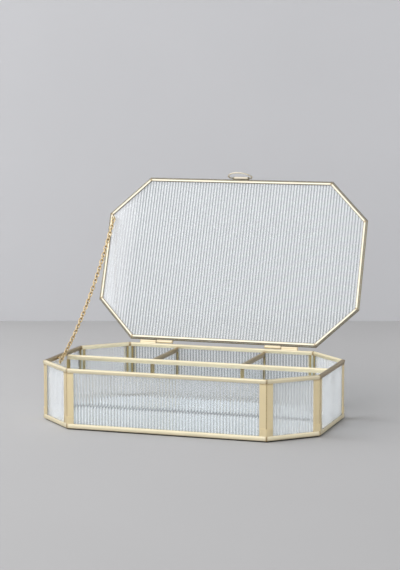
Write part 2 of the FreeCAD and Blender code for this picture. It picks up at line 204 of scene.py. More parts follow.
class RailLook(bpy.types.PropertyGroup):
    """Shape and finish of the brass sheet."""

    crown: length("Crown", "Rise of a rail's rolled web at its middle", 0.3 * MM)
    bend: length("Bend", "Outer radius of the rolled edges of the base's rails", 1.0 * MM)
    nose: length("Nose", "How far the sloped outer side of a lid rail runs in", 2.1 * MM)
    lip: length("Lip", "How far the free edge of a rail curls in", 0.35 * MM)
    skirt: length("Skirt", "How far the foot rails reach down past the felt pad's top", 0.8 * MM)
    # This reach also sets how far the painted shade runs on the strips under the rails.
    stain_shade_reach: length("Seam reach", "How far heat stain runs from a soldered seam", 2.5 * MM)
    pale: colour("Rail brass", "Pale champagne brass of the rolled rails", (0.92, 0.83, 0.60))
    clean: colour("Strip brass", "Straw yellow brass of the folded strips", (0.98, 0.83, 0.52))
    # Heat stain at the rails' soldered mitres; the same colour is painted shade where the strips pass under
    # the rails, where chain links touch and at the hinge knuckles' ends.
    shaded: colour("Stain and shade", "Brass beside a soldered seam", (0.36, 0.24, 0.10))
    # Painted shade: near-black brass for the inner face of the foot rails, the mirror's rim, the lift tube's
    # solder, and the handle's dark mark.
    painted_shade: colour("Tarnished brass", "Dark inner face of the foot rails", (0.10, 0.085, 0.045))
    lid: colour("Lid brass", "Pale brass of the lid's flat flanges", (0.95, 0.88, 0.70))
    # Painted shade: a darker copy of the lid brass for the lid rails' outer slopes and their lips beside the
    # pane.
    fold: colour("Fold brass", "Olive brass where the lid's rails fold over", (0.32, 0.27, 0.18))
    # Painted shade: a darker copy of the rail brass for the rails and caps that run from front to back,
    # which face away from the light.
    side_shade_tone: colour("Toned brass", "Tan brass of the rails that run from front to back", (0.40, 0.32, 0.205))
    # Painted shade: a darker copy of the strip brass for the strips and channels inside the box.
    inner: colour("Inner brass", "Deeper gold of the strips inside the box", (0.50, 0.39, 0.18))
    tin: colour("Tin", "Grey solder down the inner corners", (0.62, 0.63, 0.55))
    warm: colour("Hinge brass", "Polished brass of the hinges", (0.88, 0.76, 0.54))
    handle: colour("Handle brass", "Light gold of the lift handle", (0.88, 0.80, 0.64))
    satin: share("Rail roughness", "Micro roughness of the rolled rails and of solder", 0.4)
    roughness: share("Roughness", "Micro roughness of the folded strips", 0.3)
    hinge_roughness: share("Hinge roughness", "Micro roughness of the hinges", 0.24)
    handle_roughness: share("Handle roughness", "Micro roughness of the lift handle", 0.22)
    grain: share("Grain", "Strength of the drawn lines along the sheet", 0.15)
    hardware_grain: share("Hardware grain", "Strength of the turned lines on hinges and handle", 0.2)


class GlassLook(bpy.types.PropertyGroup):
    """Shape and finish of the panes."""

    rib_pitch: length("Rib pitch", "Distance from rib to rib", 2.92 * MM)
    rib_height: length("Rib height", "Height of a rib above its valleys", 0.4 * MM)
    valley: share("Valley", "Rounding of the valleys between the ribs", 0.05)
    steps: IntProperty(name="Steps", description="Faces across one rib", default=12, min=4, max=32)
    bevel: length("Bevel", "Bevel on the edges of the divider panes", 0.2 * MM)
    tint: colour("Glass", "Colour of the clear glass", (0.97, 0.985, 0.99))
    # Painted shade: the grooves' dark colour, and below it how strongly each pane takes it, stand in for the
    # dark stripes that the ribs' refraction makes.
    groove: colour("Grooves", "Colour of the ribbed glass down in its grooves", (0.115, 0.16, 0.16))
    front_foot: share("Front grooves, foot", "Strength of the grooves' colour at the front pane's foot",
                      0.72)
    front_head: share("Front grooves, head", "Strength of the grooves' colour at the front pane's top", 0.1)
    faint: share("Faint grooves", "Strength of the grooves' colour in the end and corner panes", 0.2)
    front_clear: share("Front clearness", "Light that the front pane lets straight on", 0.84)
    back_clear: share("Back clearness", "Light that the back pane lets straight on", 0.86)
    end_clear: share("End clearness", "Light that the left and the back corner panes let straight on", 0.8)
    right_clear: share("Right clearness", "Light that the right and front right panes let straight on", 0.6)
    lid_clear: share("Lid clearness", "Light that the lid's pane lets straight on", 0.83)
    edge: colour("Edge", "Colour of the cut edges", (0.22, 0.36, 0.36))
    mirror: colour("Mirror", "Pale silvered floor", (0.90, 0.95, 0.97))
    silver: share("Silver", "How much of the floor mirrors, the rest being milky", 0.62)
    roughness: share("Roughness", "Micro roughness of the pressed face", 0.02)


class ChainLook(bpy.types.PropertyGroup):
    """Shape and finish of the chain stay."""

    wire: length("Wire", "Wire diameter of a link", 1.1 * MM)
    width: length("Width", "Outer width of a link", 4.2 * MM)
    play: length("Play", "Air between two links pulled apart", 0.06 * MM)
    sag: length("Sag", "Sag below the straight line", 13.0 * MM)
    sway: FloatProperty(name="Sway", description="How far links turn out of line", default=math.radians(9),
                        min=0.0, max=math.radians(40), unit="ROTATION")
    gold: colour("Chain brass", "Warm yellow brass of the chain", (0.86, 0.68, 0.40))
    roughness: share("Roughness", "Micro roughness of the wire", 0.2)
    grain: share("Grain", "Strength of the drawn lines along the wire", 0.1)


class StudioLook(bpy.types.PropertyGroup):
    """Floor, backdrop, lamps and camera."""

    floor: colour("Floor", "Pale floor", (0.37, 0.366, 0.362))
    wall: colour("Backdrop", "Pale backdrop", (0.545, 0.545, 0.553))
    air: colour("Air", "Pale room beyond the backdrop", (0.55, 0.55, 0.56))
    light: colour("Light", "Colour of the light", (0.985, 0.99, 1.015))
    wall_distance: length("Backdrop distance", "Backdrop behind the box", 0.634)
    wall_left: length("Backdrop left", "Reach of the backdrop to the left", 0.5)
    wall_right: length("Backdrop right", "Reach of the backdrop to the right", 1.0)
    dim: strength("Dim", "Light from the shaded end of the room", 0.33)
    bright: strength("Bright", "Light from the bright end of the room", 1.4)
    gleam: strength("Gleam", "Extra light at the front right that only gloss shows", 0.75)
    key: strength("Key", "Power of the large soft lamp on the left", 31.0, "POWER")
    key_size: length("Key size", "Side of the large soft lamp", 1.9)
    rim: strength("Rim", "Power of the low soft lamp on the right", 3.4, "POWER")
    rim_size: length("Rim size", "Side of the low soft lamp", 0.35)
    camera_place: FloatVectorProperty(name="Camera", description="Place of the camera", size=3,
                                      default=(0.54654, -1.64960, 0.34409), unit="LENGTH")
    camera_aim: FloatVectorProperty(name="Aim", description="Direction of view", size=3,
                                    default=(-0.30908, 0.94280, -0.12487), subtype="DIRECTION")
    lens: FloatProperty(name="Lens", description="Focal length in millimetres", default=120.07, min=1.0)


def settings(name):
    """The scene's settings of one group."""
    return getattr(bpy.context.scene, "jewelry_box_" + name)


# ---- mesh building ----------------------------------------------------------------------------------


def new_mesh():
    """Empty mesh data with a UV map in metres and, on each vertex, its distance from the nearest seam,
    contact or rail edge, which sets its heat stain and painted shade.
    """
    shape = bmesh.new()
    shape.loops.layers.uv.new("UVMap")
    shape.verts.layers.float.new("seam")
    return shape


def add_rings(shape, rings, places, seams=None, closed=False):
    """Skin between rings of points. places holds the distance along the piece of each ring, seams the
    distance of each ring, or of each of its points, from the nearest seam, contact or rail edge, for heat
    stain and painted shade."""
    uv = shape.loops.layers.uv["UVMap"]
    seam = shape.verts.layers.float["seam"]
    rows = []
    for ring, from_stain_and_shade in zip(rings, seams or [UNMARKED] * len(rings)):
        row = [shape.verts.new(point) for point in ring]
        for n, vertex in enumerate(row):
            vertex[seam] = from_stain_and_shade[n] if isinstance(from_stain_and_shade, list) else from_stain_and_shade
        rows.append(row)
    around = [0.0]
    for here, there in zip(rings[0], rings[0][1:] + rings[0][:1]):
        around.append(around[-1] + (there - here).length)
    stretches = list(zip(rows, rows[1:], places, places[1:]))
    if closed:
        stretches.append((rows[-1], rows[0], places[-1], 2 * places[-1] - places[-2]))
    for row, following, place, next_place in stretches:
        for n in range(len(row)):
            after = (n + 1) % len(row)
            face = shape.faces.new((row[n], row[after], following[after], following[n]))
            corners = ((place, around[n]), (place, around[n + 1]),
                       (next_place, around[n + 1]), (next_place, around[n]))
            for loop, corner in zip(face.loops, corners):
                loop[uv].uv = corner
    if not closed:
        for row in (rows[0], rows[-1]):
            cap = shape.faces.new(row)
            for loop, along in zip(cap.loops, around):
                loop[uv].uv = (along, 0.0)


def add_piece(name, shape, materials, slot, *nodes, body="base", sharp=38, place=None):
    """New piece from the collected faces, smooth apart from edges that turn more than sharp degrees. It
    rides on a body, takes the given materials and stands for CAD nodes. The slot is not used."""
    bmesh.ops.recalc_face_normals(shape, faces=shape.faces)
    if place:
        bmesh.ops.transform(shape, matrix=place, verts=shape.verts)
    mesh = bpy.data.meshes.new(name)
    shape.to_mesh(mesh)
    shape.free()
    mesh.shade_smooth()
    mesh.set_sharp_from_angle(angle=math.radians(sharp))
    for material in materials:
        mesh.materials.append(material)
    piece = bpy.data.objects.new(name, mesh)
    bpy.context.scene.collection.objects.link(piece)
    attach(piece, body)
    if nodes:
        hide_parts(*nodes)


def arc(centre, radius, start, end, steps):
    """Points of a plane arc between two angles in degrees."""
    points = []
    for n in range(steps + 1):
        angle = math.radians(start + (end - start) * n / steps)
        points.append((centre[0] + radius * math.cos(angle), centre[1] + radius * math.sin(angle)))
    return points


def at_level(points, level):
    """Plan points lifted to a level."""
    return [Vector((point.x, point.y, level)) for point in points]


def both_ends(steps, start, end):
    """Places at the given steps from each end of a stretch, in order."""
    return [start + step for step in steps] + [end - step for step in reversed(steps)]


def offset_line(line, distance):
    """Open plane line moved to its right by a distance."""
    moved = []
    for n, (x, y) in enumerate(line):
        before = line[max(n - 1, 0)]
        after = line[min(n + 1, len(line) - 1)]
        along = Vector((after[0] - before[0], after[1] - before[1])).normalized()
        moved.append((x + along.y * distance, y - along.x * distance))
    return moved


def closed_channel(half, width, lip_reach):
    """Closed outline of a symmetric sheet channel from the outside of its left half, feet at level 0."""
    outer = half + [(width - x, y) for x, y in reversed(half[:-1])]
    inner = []
    reach = SHEET + LIP_SLACK
    for x, y in offset_line(outer, SHEET):
        if y < lip_reach:
            x = min(x, reach) if x < width / 2 else max(x, width - reach)
        inner.append((x, max(y, 0.0)))
    return outer + inner[::-1]


def curled_foot(lip, reach):
    """Outside of a channel's foot, which curls in by lip over its reach."""
    return [(lip * (1 - n / 4) ** 2, reach * n / 4) for n in range(5)]


def rolled_channel(width, height, bend, crown, lip, lip_reach):
    """Outline of a rolled channel: across from 0 to width, with a crowned web at height."""
    shoulder = height - crown - bend
    half = curled_foot(lip, lip_reach) + arc((bend, shoulder), bend, 180, 90, 7)
    for n in range(1, 5):
        across = n / 8
        half.append((bend + (width - 2 * bend) * across, height - crown * (1 - 2 * across) ** 2))
    return closed_channel(half, width, lip_reach)


def keeled_channel(width, height, nose, lip, lip_reach):
    """Outline of a lid rail's channel: flat flanges that fold over to a keel at height."""
    half = curled_foot(lip, lip_reach)
    for n in range(6):
        part = n / 5
        half.append((width / 2 * part, height - nose * (1 - part) ** 1.3))
    return closed_channel(half, width, lip_reach)


def rail_channel(width, height):
    """Channel with the rounding of the base's rails."""
    look = settings("rail")
    return rolled_channel(width, height, look.bend, look.crown, look.lip, lip_reach=2.4 * MM)


def octagon(inset):
    """Corners of the plan outline moved in by an inset, counter-clockwise from the front side's left end."""
    x, y = HALF_LENGTH - inset, HALF_WIDTH - inset
    cut = CORNER_CUT - inset * (2 - math.sqrt(2))
    return [Vector(corner) for corner in (
        (-x + cut, -y, 0), (x - cut, -y, 0), (x, -y + cut, 0), (x, y - cut, 0),
        (x - cut, y, 0), (-x + cut, y, 0), (-x, y - cut, 0), (-x, -y + cut, 0))]


def side_line(side, inset):
    """Start, end and direction of one side of the outline."""
    corners = octagon(inset)
    start, end = corners[side], corners[(side + 1) % 8]
    return start, end, (end - start).normalized()


def edges_between(profile, least, most):
    """Numbers of a profile's edges whose middle lies between two insets."""
    middles = [(here[0] + there[0]) / 2 for here, there in zip(profile, profile[1:] + profile[:1])]
    return {n for n, middle in enumerate(middles) if least < middle < most}


def add_mitred_rail(shape, side, profile, second=()):
    """Rail along one side from a profile of (inset, level) pairs, mitred at both ends. The profile's
    edges numbered in second take the second material."""
    start, end, _ = side_line(side, 0)
    full = (end - start).length
    places = MITRE_STEPS + [full / 2] + [full - near for near in reversed(MITRE_STEPS)]
    rings = []
    for place in places:
        ring = []
        for inset, level in profile:
            first, last, _ = side_line(side, inset)
            ring += at_level([first.lerp(last, place / full)], level)
        rings.append(ring)
    add_rings(shape, rings, places, [min(place, full - place) for place in places])
    for number, face in enumerate(shape.faces):
        if number % len(profile) in second and number < len(profile) * (len(places) - 1):
            face.material_index = 1


def add_tube(shape, path, radius, normal, closed, sides, seams=None):
    """Round wire along a plane path whose plane has the given normal. seams holds the distance of each of
    its points from the contact where painted shade starts."""
    rings, places, travelled = [], [], 0.0
    count = len(path)
    for n, point in enumerate(path):
        before = path[n - 1] if closed or n else path[0]
        after = path[(n + 1) % count] if closed or n < count - 1 else path[-1]
        side = (after - before).normalized().cross(normal)
        ring = []
        for k in range(sides):
            angle = 2 * math.pi * k / sides
            ring.append(point + normal * (radius * math.cos(angle)) + side * (radius * math.sin(angle)))
        if n:
            travelled += (point - path[n - 1]).length
        rings.append(ring)
        places.append(travelled)
    add_rings(shape, rings, places, seams, closed)


def add_lathe(shape, stations, start, axis, seams=None):
    """Turned piece: (distance, radius) stations along an axis from a start point. seams holds the distance
    of each station from the end where painted shade starts."""
    across = axis.orthogonal().normalized()
    up = axis.cross(across)
    turns = [2 * math.pi * k / LATHE_SIDES for k in range(LATHE_SIDES)]
    rings = []
    for distance, radius in stations:
        middle = start + axis * distance
        rings.append([middle + (across * math.cos(turn) + up * math.sin(turn)) * radius for turn in turns])
    add_rings(shape, rings, [distance for distance, _ in stations], seams)


def add_bead(shape, middle, size, seed):
    """Small lumpy bead of solder, with its reach along each axis in millimetres."""
    made = bmesh.ops.create_icosphere(shape, subdivisions=3, radius=1.0)
    for vertex in made["verts"]:
        lump = 1 + LUMP_DEPTH * noise.noise(vertex.co * LUMP_SCALE + Vector((seed, 0, 0)))
        vertex.co = middle + Vector(a * b for a, b in zip(vertex.co * lump, Vector(size) * MM))


# ---- shader building --------------------------------------------------------------------------------


def opaque(tone):
    """Colour with full alpha."""
    return (*tone, 1)


def fill(tree, made, values):
    """Sets a node's inputs to values, or links outputs to them."""
    for place, value in values.items():
        if isinstance(value, bpy.types.NodeSocket):
            tree.links.new(value, made.inputs[place])
        else:
            made.inputs[place].default_value = value


def add_node(tree, kind, values=None, **properties):
    """New node with its properties set and its inputs filled."""
    made = tree.nodes.new("ShaderNode" + kind)
    for name, value in properties.items():
        setattr(made, name, value)
    fill(tree, made, values or {})
    return made


def math_node(tree, operation, *terms, clamp=False):
    """Result of an operation on numbers and outputs."""
    made = add_node(tree, "Math", dict(enumerate(terms)), operation=operation, use_clamp=clamp)
    return made.outputs[0]


def mix_colour(tree, factor, first, second, blend="MIX"):
    """Mix of two colours."""
    made = add_node(tree, "Mix", data_type="RGBA", blend_type=blend)
    places = {place.name: n for n, place in enumerate(made.inputs) if place.enabled}
    fill(tree, made, {places["Factor"]: factor, places["A"]: first, places["B"]: second})
    return next(place for place in made.outputs if place.enabled)


def object_noise(tree, scale, detail):
    """Noise in a piece's own space, in metres."""
    place = add_node(tree, "TexCoord").outputs["Object"]
    texture = add_node(tree, "TexNoise", {"Vector": place, "Scale": scale, "Detail": detail})
    return texture.outputs["Fac"]


def add_bump(tree, height, distance, strength=1.0):
    """Normals of a relief."""
    values = {"Height": height, "Distance": distance, "Strength": strength}
    return add_node(tree, "Bump", values).outputs[0]


def mix_shaders(tree, out, factor, first, second):
    """Ends a tree in a mix of two shaders."""
    mix = add_node(tree, "MixShader", {0: factor, 1: first.outputs[0], 2: second.outputs[0]})
    fill(tree, out, {"Surface": mix.outputs[0]})


def new_group(name, defaults, kinds):
    """Node group with the inputs' defaults and the outputs' kinds given by name, and its two ends."""
    tree = bpy.data.node_groups.new(name, "ShaderNodeTree")
    for label, default in defaults.items():
        kind = "NodeSocketColor" if isinstance(default, tuple) else "NodeSocketFloat"
        made = tree.interface.new_socket(name=label, in_out="INPUT", socket_type=kind)
        made.default_value = default
    for label, kind in kinds.items():
        tree.interface.new_socket(name=label, in_out="OUTPUT", socket_type="NodeSocket" + kind)
    return tree, tree.nodes.new("NodeGroupInput").outputs, tree.nodes.new("NodeGroupOutput")


def drawn_metal_group():
    """Shared finish of all brass: cloudy tone, drawn lines along the piece, and a dark mark by the seam
    distance: heat stain at soldered seams, and painted shade where pieces touch or pass under the rails.
    """
    if "drawn_metal" in bpy.data.node_groups:
        return bpy.data.node_groups["drawn_metal"]
    defaults = {"Clean": (0.8, 0.66, 0.42, 1), "Stain and shade": (0.4, 0.3, 0.15, 1), "Roughness": 0.3,
                "Grain": 0.3, "Reach": 3 * MM}
    tree, given, out = new_group("drawn_metal", defaults,
                                 {"Color": "Color", "Roughness": "Float", "Normal": "Vector"})
    cloud = object_noise(tree, scale=45.0, detail=4.0)
    speck = object_noise(tree, scale=900.0, detail=3.0)
    along = add_node(tree, "TexCoord").outputs["UV"]
    lines_per_metre = (60, 5200, 1)
    drawn = add_node(tree, "Mapping", {"Vector": along, "Scale": lines_per_metre}).outputs[0]
    lines = add_node(tree, "TexNoise", {"Vector": drawn, "Scale": 1.0, "Detail": 2.0}).outputs["Fac"]

    # The seam distance sets both heat stain at soldered seams and painted shade where pieces touch or pass
    # under the rails.
    distance = add_node(tree, "Attribute", attribute_name="seam").outputs["Fac"]
    near = math_node(tree, "DIVIDE", distance, given["Reach"])
    near = math_node(tree, "SUBTRACT", 1.0, near, clamp=True)
    fall, speck_depth, least_stain = 2.2, 0.9, 0.45
    near = math_node(tree, "POWER", near, fall)
    uneven = math_node(tree, "MULTIPLY_ADD", speck, speck_depth, least_stain)
    stain = math_node(tree, "MULTIPLY", near, uneven, clamp=True)

    cloud_depth, darkest = 0.16, 0.92
    line_haze, stain_haze, cloud_relief = 0.12, 0.25, 4.0
    tone = math_node(tree, "MULTIPLY_ADD", cloud, cloud_depth, darkest)
    shade = add_node(tree, "CombineColor", {0: tone, 1: tone, 2: tone}).outputs[0]
    clean = mix_colour(tree, 1.0, given["Clean"], shade, "MULTIPLY")
    rough = math_node(tree, "MULTIPLY_ADD", lines, line_haze, given["Roughness"])
    relief = math_node(tree, "MULTIPLY_ADD", cloud, cloud_relief, lines)
    fill(tree, out, {"Color": mix_colour(tree, stain, clean, given["Stain and shade"]),
                     "Roughness": math_node(tree, "MULTIPLY_ADD", stain, stain_haze, rough),
                     "Normal": add_bump(tree, relief, 0.01 * MM, given["Grain"])})
    return tree


def pressed_glass_group():
    """Shared surface of all glass: faint ripple and a trace of haze."""
    if "pressed_glass" in bpy.data.node_groups:
        return bpy.data.node_groups["pressed_glass"]
    tree, given, out = new_group("pressed_glass", {"Roughness": 0.02, "Ripple": 0.2},
                                 {"Roughness": "Float", "Normal": "Vector"})
    swell = object_noise(tree, scale=70.0, detail=1.0)
    haze = object_noise(tree, scale=25.0, detail=5.0)
    haze_depth = 0.03
    fill(tree, out, {"Roughness": math_node(tree, "MULTIPLY_ADD", haze, haze_depth, given["Roughness"]),
                     "Normal": add_bump(tree, swell, 0.05 * MM, given["Ripple"])})
    return tree


def new_material(name, values):
    """Material with its shader's inputs filled."""
    material = bpy.data.materials.new(name)
    material.use_nodes = True
    tree = material.node_tree
    tree.nodes.clear()
    shader = add_node(tree, "BsdfPrincipled", values)
    out = add_node(tree, "OutputMaterial", {"Surface": shader.outputs[0]})
    return material, tree, shader, out


def dress(tree, shader, group, values):
    """Places a shared finish in a material with its own values."""
    finish = add_node(tree, "Group", values, node_tree=group)
    for output in finish.outputs:
        fill(tree, shader, {"Base Color" if output.name == "Color" else output.name: output})


# The settings that hold each brass's colour, roughness and grain, and how far its heat stain and painted
# shade run where that isn't the sheet's own reach. The side, fold, inner and near-black colours are painted
# shade.
BRASSES = {
    "pale_satin_brass": ("rail", "pale", "satin", "grain", None),
    "champagne_brass": ("rail", "lid", "roughness", "grain", None),
    "fold_shade_brass": ("rail", "fold", "roughness", "grain", 1.2 * MM),
    "side_shade_brass": ("rail", "side_shade_tone", "roughness", "grain", None),
    "inner_shade_brass": ("rail", "inner", "roughness", "grain", None),
    "straw_satin_brass": ("rail", "clean", "roughness", "grain", None),
    "painted_shade_brass": ("rail", "painted_shade", "satin", "grain", None),
    "tin_solder": ("rail", "tin", "satin", "grain", None),
    "polished_brass": ("rail", "warm", "hinge_roughness", "hardware_grain", 0.9 * MM),
    "light_gold_brass": ("rail", "handle", "handle_roughness", "hardware_grain", 7 * MM),
    "gold_plated_brass": ("chain", "gold", "roughness", "grain", 1.6 * MM),
}


def brass(name):
    """Brass with the drawn finish. The handle's takes near-black painted shade in place of the stain colour.
    """
    if name in bpy.data.materials:
        return bpy.data.materials[name]
    group, tone, roughness, grain, reach = BRASSES[name]
    look, rail = settings(group), settings("rail")
    material, tree, shader, _ = new_material(name, {"Metallic": 1.0})
    dress(tree, shader, drawn_metal_group(), {
        "Clean": opaque(getattr(look, tone)),
        # The handle's dark mark is painted shade; the others' is heat stain at seams and painted shade at
        # contacts.
        "Stain and shade": opaque(rail.painted_shade if name == "light_gold_brass" else rail.shaded),
        "Roughness": getattr(look, roughness),
        "Grain": getattr(look, grain),
        "Reach": reach or rail.stain_shade_reach})
    return material


def glass(name, tint, roughness, ripple, clear_share=1.0, groove=None):
    """Clear glass that lets the lamps through to what it shuts in. Ribbed glass has painted shade in its
    grooves.
    """
    if name in bpy.data.materials:
        return bpy.data.materials[name]
    material, tree, shader, out = new_material(
        name, {"Base Color": opaque(tint), "Transmission Weight": clear_share, "IOR": 1.5})
    dress(tree, shader, pressed_glass_group(), {"Roughness": roughness, "Ripple": ripple})
    # Painted shade: the groove attribute darkens the colour down in the grooves.
    if groove:
        depth = add_node(tree, "Attribute", attribute_name="groove").outputs["Fac"]
        fill(tree, shader, {"Base Color": mix_colour(tree, depth, opaque(tint), opaque(groove))})
    passed = opaque([SHADOW_CLEAR * channel for channel in tint])
    clear = add_node(tree, "BsdfTransparent", {"Color": passed})
    shadow = add_node(tree, "LightPath").outputs["Is Shadow Ray"]
    mix_shaders(tree, out, shadow, shader, clear)
    return material


def ribbed_glass(part):
    """Pressed glass of the lid or of one part of the walls."""
    look = settings("glass")
    return glass("ribbed_glass_" + part, look.tint, look.roughness, ripple=0.03,
                 clear_share=getattr(look, part + "_clear"), groove=look.groove)


def clear_glass():
    """Smooth glass of the dividers."""
    return glass("float_glass", settings("glass").tint, roughness=0.0, ripple=0.12)


def edge_glass():
    """Green-grey cut edges of all panes."""
    return glass("cut_glass_edge", settings("glass").edge, roughness=0.25, ripple=0.5)


def mirror_glass():
    """Silvered floor plate with a trace of haze."""
    look = settings("glass")
    material, tree, shader, _ = new_material(
        "silvered_glass", {"Base Color": opaque(look.mirror), "Metallic": look.silver})
    dress(tree, shader, pressed_glass_group(), {"Roughness": 0.04, "Ripple": 0.06})
    return material


def felt():
    """Black felt of the base pad."""
    material, tree, shader, _ = new_material("black_felt", {"Roughness": 0.95})
    fibre = object_noise(tree, scale=2600.0, detail=6.0)
    pit, tip = (0.006, 0.006, 0.007, 1), (0.035, 0.034, 0.034, 1)
    tone = mix_colour(tree, fibre, pit, tip)
    fill(tree, shader, {"Base Color": tone, "Normal": add_bump(tree, fibre, 0.15 * MM)})
    return material


def matte(name, tone, culled):
    """Plain matte paper. A culled one is seen and lit from its front only."""
    material, tree, shader, out = new_material(name, {"Roughness": 0.9, "Specular IOR Level": 0.2})
    grain = object_noise(tree, scale=6.0, detail=8.0)
    darker = [0.965 * channel for channel in tone]
    fill(tree, shader, {"Base Color": mix_colour(tree, grain, opaque(darker), opaque(tone))})
    if culled:
        behind = add_node(tree, "NewGeometry").outputs["Backfacing"]
        mix_shaders(tree, out, behind, shader, add_node(tree, "BsdfTransparent"))
    return material


# ---- pieces -----------------------------------------------------------------------------------------


def base_rail_profile(upper):
    """Profile of the base's top or bottom rails, as (inset, level) pairs."""
    height = RAIL_HIGH.z - RAIL_LOW.z
    if upper:
        return [(across, RAIL_LOW.z + up) for across, up in rail_channel(RAIL_WIDTH, height)]
    channel = rail_channel(RAIL_WIDTH, height + settings("rail").skirt)
    over_pad = HALF_LENGTH - PAD_HIGH.x - PAD_AIR
    profile = []
    for n, (across, up) in enumerate(channel):
        level = FOOT_HIGH.z - up
        if across > over_pad:
            level = max(level, PAD_HIGH.z + (0 if n < len(channel) / 2 else SHEET))
        profile.append((across, level))
    return profile


class JEWELRYBOX_OT_base_rails(bpy.types.Operator):
    """Rolled brass rails round the top and the foot of the walls"""

    bl_idname = "jewelrybox.base_rails"
    bl_label = "Base rails"

    def execute(self, context):
        top_profile, foot_profile = base_rail_profile(True), base_rail_profile(False)
        # Painted shade: the inner face of each foot rail takes the near-black painted shade brass.
        shaded_inner_face = edges_between(foot_profile, RAIL_WIDTH - 0.9 * SHEET, RAIL_WIDTH + SHEET)
        for side, name in enumerate(SIDES):
            top = new_mesh()
            add_mitred_rail(top, side, top_profile)
            # Painted shade: the left and right upper rails take the darker side brass.
            finish = "side_shade_brass" if name in ("left", "right") else "pale_satin_brass"
            add_piece("upper_rail_" + name, top, [brass(finish)], "frame_brass", "top_rail_" + name)
            foot = new_mesh()
            add_mitred_rail(foot, side, foot_profile, shaded_inner_face)
            replaced = "bottom_rail_corners" if side in CORNER_SIDES else "bottom_rail_" + name
            add_piece("lower_rail_" + name, foot, [brass("pale_satin_brass"), brass("painted_shade_brass")],
                      "frame_brass", replaced)
        return {"FINISHED"}


def folded_strip(corner, outer, inner, leg, groove):
    """Plan loop of a strip folded round a corner, and each point's distance from the fold. A groove
    marks the seam on its outer face."""
    fold, _, after = side_line(corner, outer)
    _, _, before = side_line((corner - 1) % 8, outer)
    inner_fold = octagon(inner)[corner]

    def leg_points(run, depth):
        """Points of one leg from its end to the fold."""
        return [(fold + run * leg + depth, leg), (fold + run * leg + depth * 0.2, leg),
                (fold + run * (leg - STRIP_EASE), leg), (fold + run * FOLD_REACH, FOLD_REACH),
                (fold + run * groove, groove)]

    near = leg_points(-before, Z_AXIS.cross(before) * (inner - outer))
    far = leg_points(after, Z_AXIS.cross(after) * (inner - outer))
    middle = fold + (inner_fold - fold).normalized() * groove
    return near + [(middle, 0.0)] + far[::-1] + [(inner_fold, FOLD_REACH)]


def add_strip(shape, corner, outer, inner, leg, low, high, groove=STRIP_GROOVE, material=0, clean=False):
    """Upright strip folded round one corner. A clean one is left unmarked; another has painted shade where
    it passes under the rails, and heat stain along its fold."""
    loop = folded_strip(corner, outer, inner, leg, groove)
    first, last = max(low, FOOT_HIGH.z), min(high, RAIL_LOW.z)
    levels = both_ends((0.0, 0.4 * MM, 1 * MM, 2.5 * MM), first, last)
    if low < first:
        levels.insert(0, low)
    if high > last:
        levels.append(high)
    if clean:
        levels = both_ends((0.0, 0.5 * MM), low, high)
    seams = []
    for level in levels:
        # Painted shade: the strip darkens towards the rails' edges, where it passes under them.
        from_end = max(min(level - first, last - level), 0.0)
        seams.append([UNMARKED if clean else min(FOLD_STAIN * distance, from_end) for _, distance in loop])
    earlier = len(shape.faces)
    add_rings(shape, [at_level([point for point, _ in loop], level) for level in levels], levels, seams)
    for face in list(shape.faces)[earlier:]:
        face.material_index = material


class JEWELRYBOX_OT_corner_strips(bpy.types.Operator):
    """Folded brass strips over the corners, inside and outside, with soldered feet"""

    bl_idname = "jewelrybox.corner_strips"
    bl_label = "Corner strips"

    def execute(self, context):
        low, high = INNER_STRIP_LOW.z, INNER_STRIP_HIGH.z
        for corner in range(8):
            outside = new_mesh()
            add_strip(outside, corner, STRIP_INSET, STRIP_INSET + SHEET, STRIP_LEG,
                      STRIP_LOW.z, STRIP_HIGH.z)
            add_piece("corner_strip_%d" % corner, outside, [brass("straw_satin_brass")],
                      "frame_brass", "corner_strips")
            foot = new_mesh()
            add_strip(foot, corner, TAB_INSET, STRIP_INSET, STRIP_LEG, TAB_LOW.z, TAB_HIGH.z, clean=True)
            add_piece("foot_tab_%d" % corner, foot, [brass("straw_satin_brass")],
                      "frame_brass", "corner_foot_tabs")
            inside = new_mesh()
            add_strip(inside, corner, RAIL_WIDTH - SHEET, RAIL_WIDTH, INNER_LEG, low, high, INNER_GROOVE)
            add_strip(inside, corner, RAIL_WIDTH, RAIL_WIDTH + TIN_DEPTH, TIN_LEG, low, high, INNER_GROOVE,
                      material=1, clean=True)
            # Painted shade: the inner strips take the darker inner brass.
            add_piece("inner_strip_%d" % corner, inside, [brass("inner_shade_brass"), brass("tin_solder")],
                      "frame_brass", "inner_corner_strips")
        return {"FINISHED"}


def smooth_step(value, low, high):
    """Rise from 0 at low to 1 at high with soft ends."""
    part = min(max((value - low) / (high - low), 0.0), 1.0)
    return part * part * (3 - 2 * part)


def rib_columns(span):
    """(distance, height, groove) columns across a ribbed face of the given span, ribs centred on it; groove
    is the strength of the painted shade in the grooves.
    """
    look = settings("glass")
    valley = GLASS_THICKNESS - look.rib_height
    count = int(span / look.rib_pitch)
    margin = (span - count * look.rib_pitch) / 2
    soft = look.valley
    full = math.sqrt(1 + soft * soft) - soft
    half = look.rib_pitch / 2
    radius = (half ** 2 + look.rib_height ** 2) / (2 * look.rib_height)
    columns = [(0.0, valley, 1.0)]
    for n in range(count * look.steps + 1):
        across = half * (1 - 2 * (n % look.steps) / look.steps)
        bow = 1 - (radius - math.sqrt(radius ** 2 - across ** 2)) / look.rib_height
        rise = (math.sqrt(bow ** 2 + soft * soft) - soft) / full
        columns.append((margin + look.rib_pitch * n / look.steps, valley + look.rib_height * rise,
                        smooth_step(abs(across) / half, GROOVE_START, GROOVE_FULL)))
    columns.append((span, valley, 1.0))
    return columns


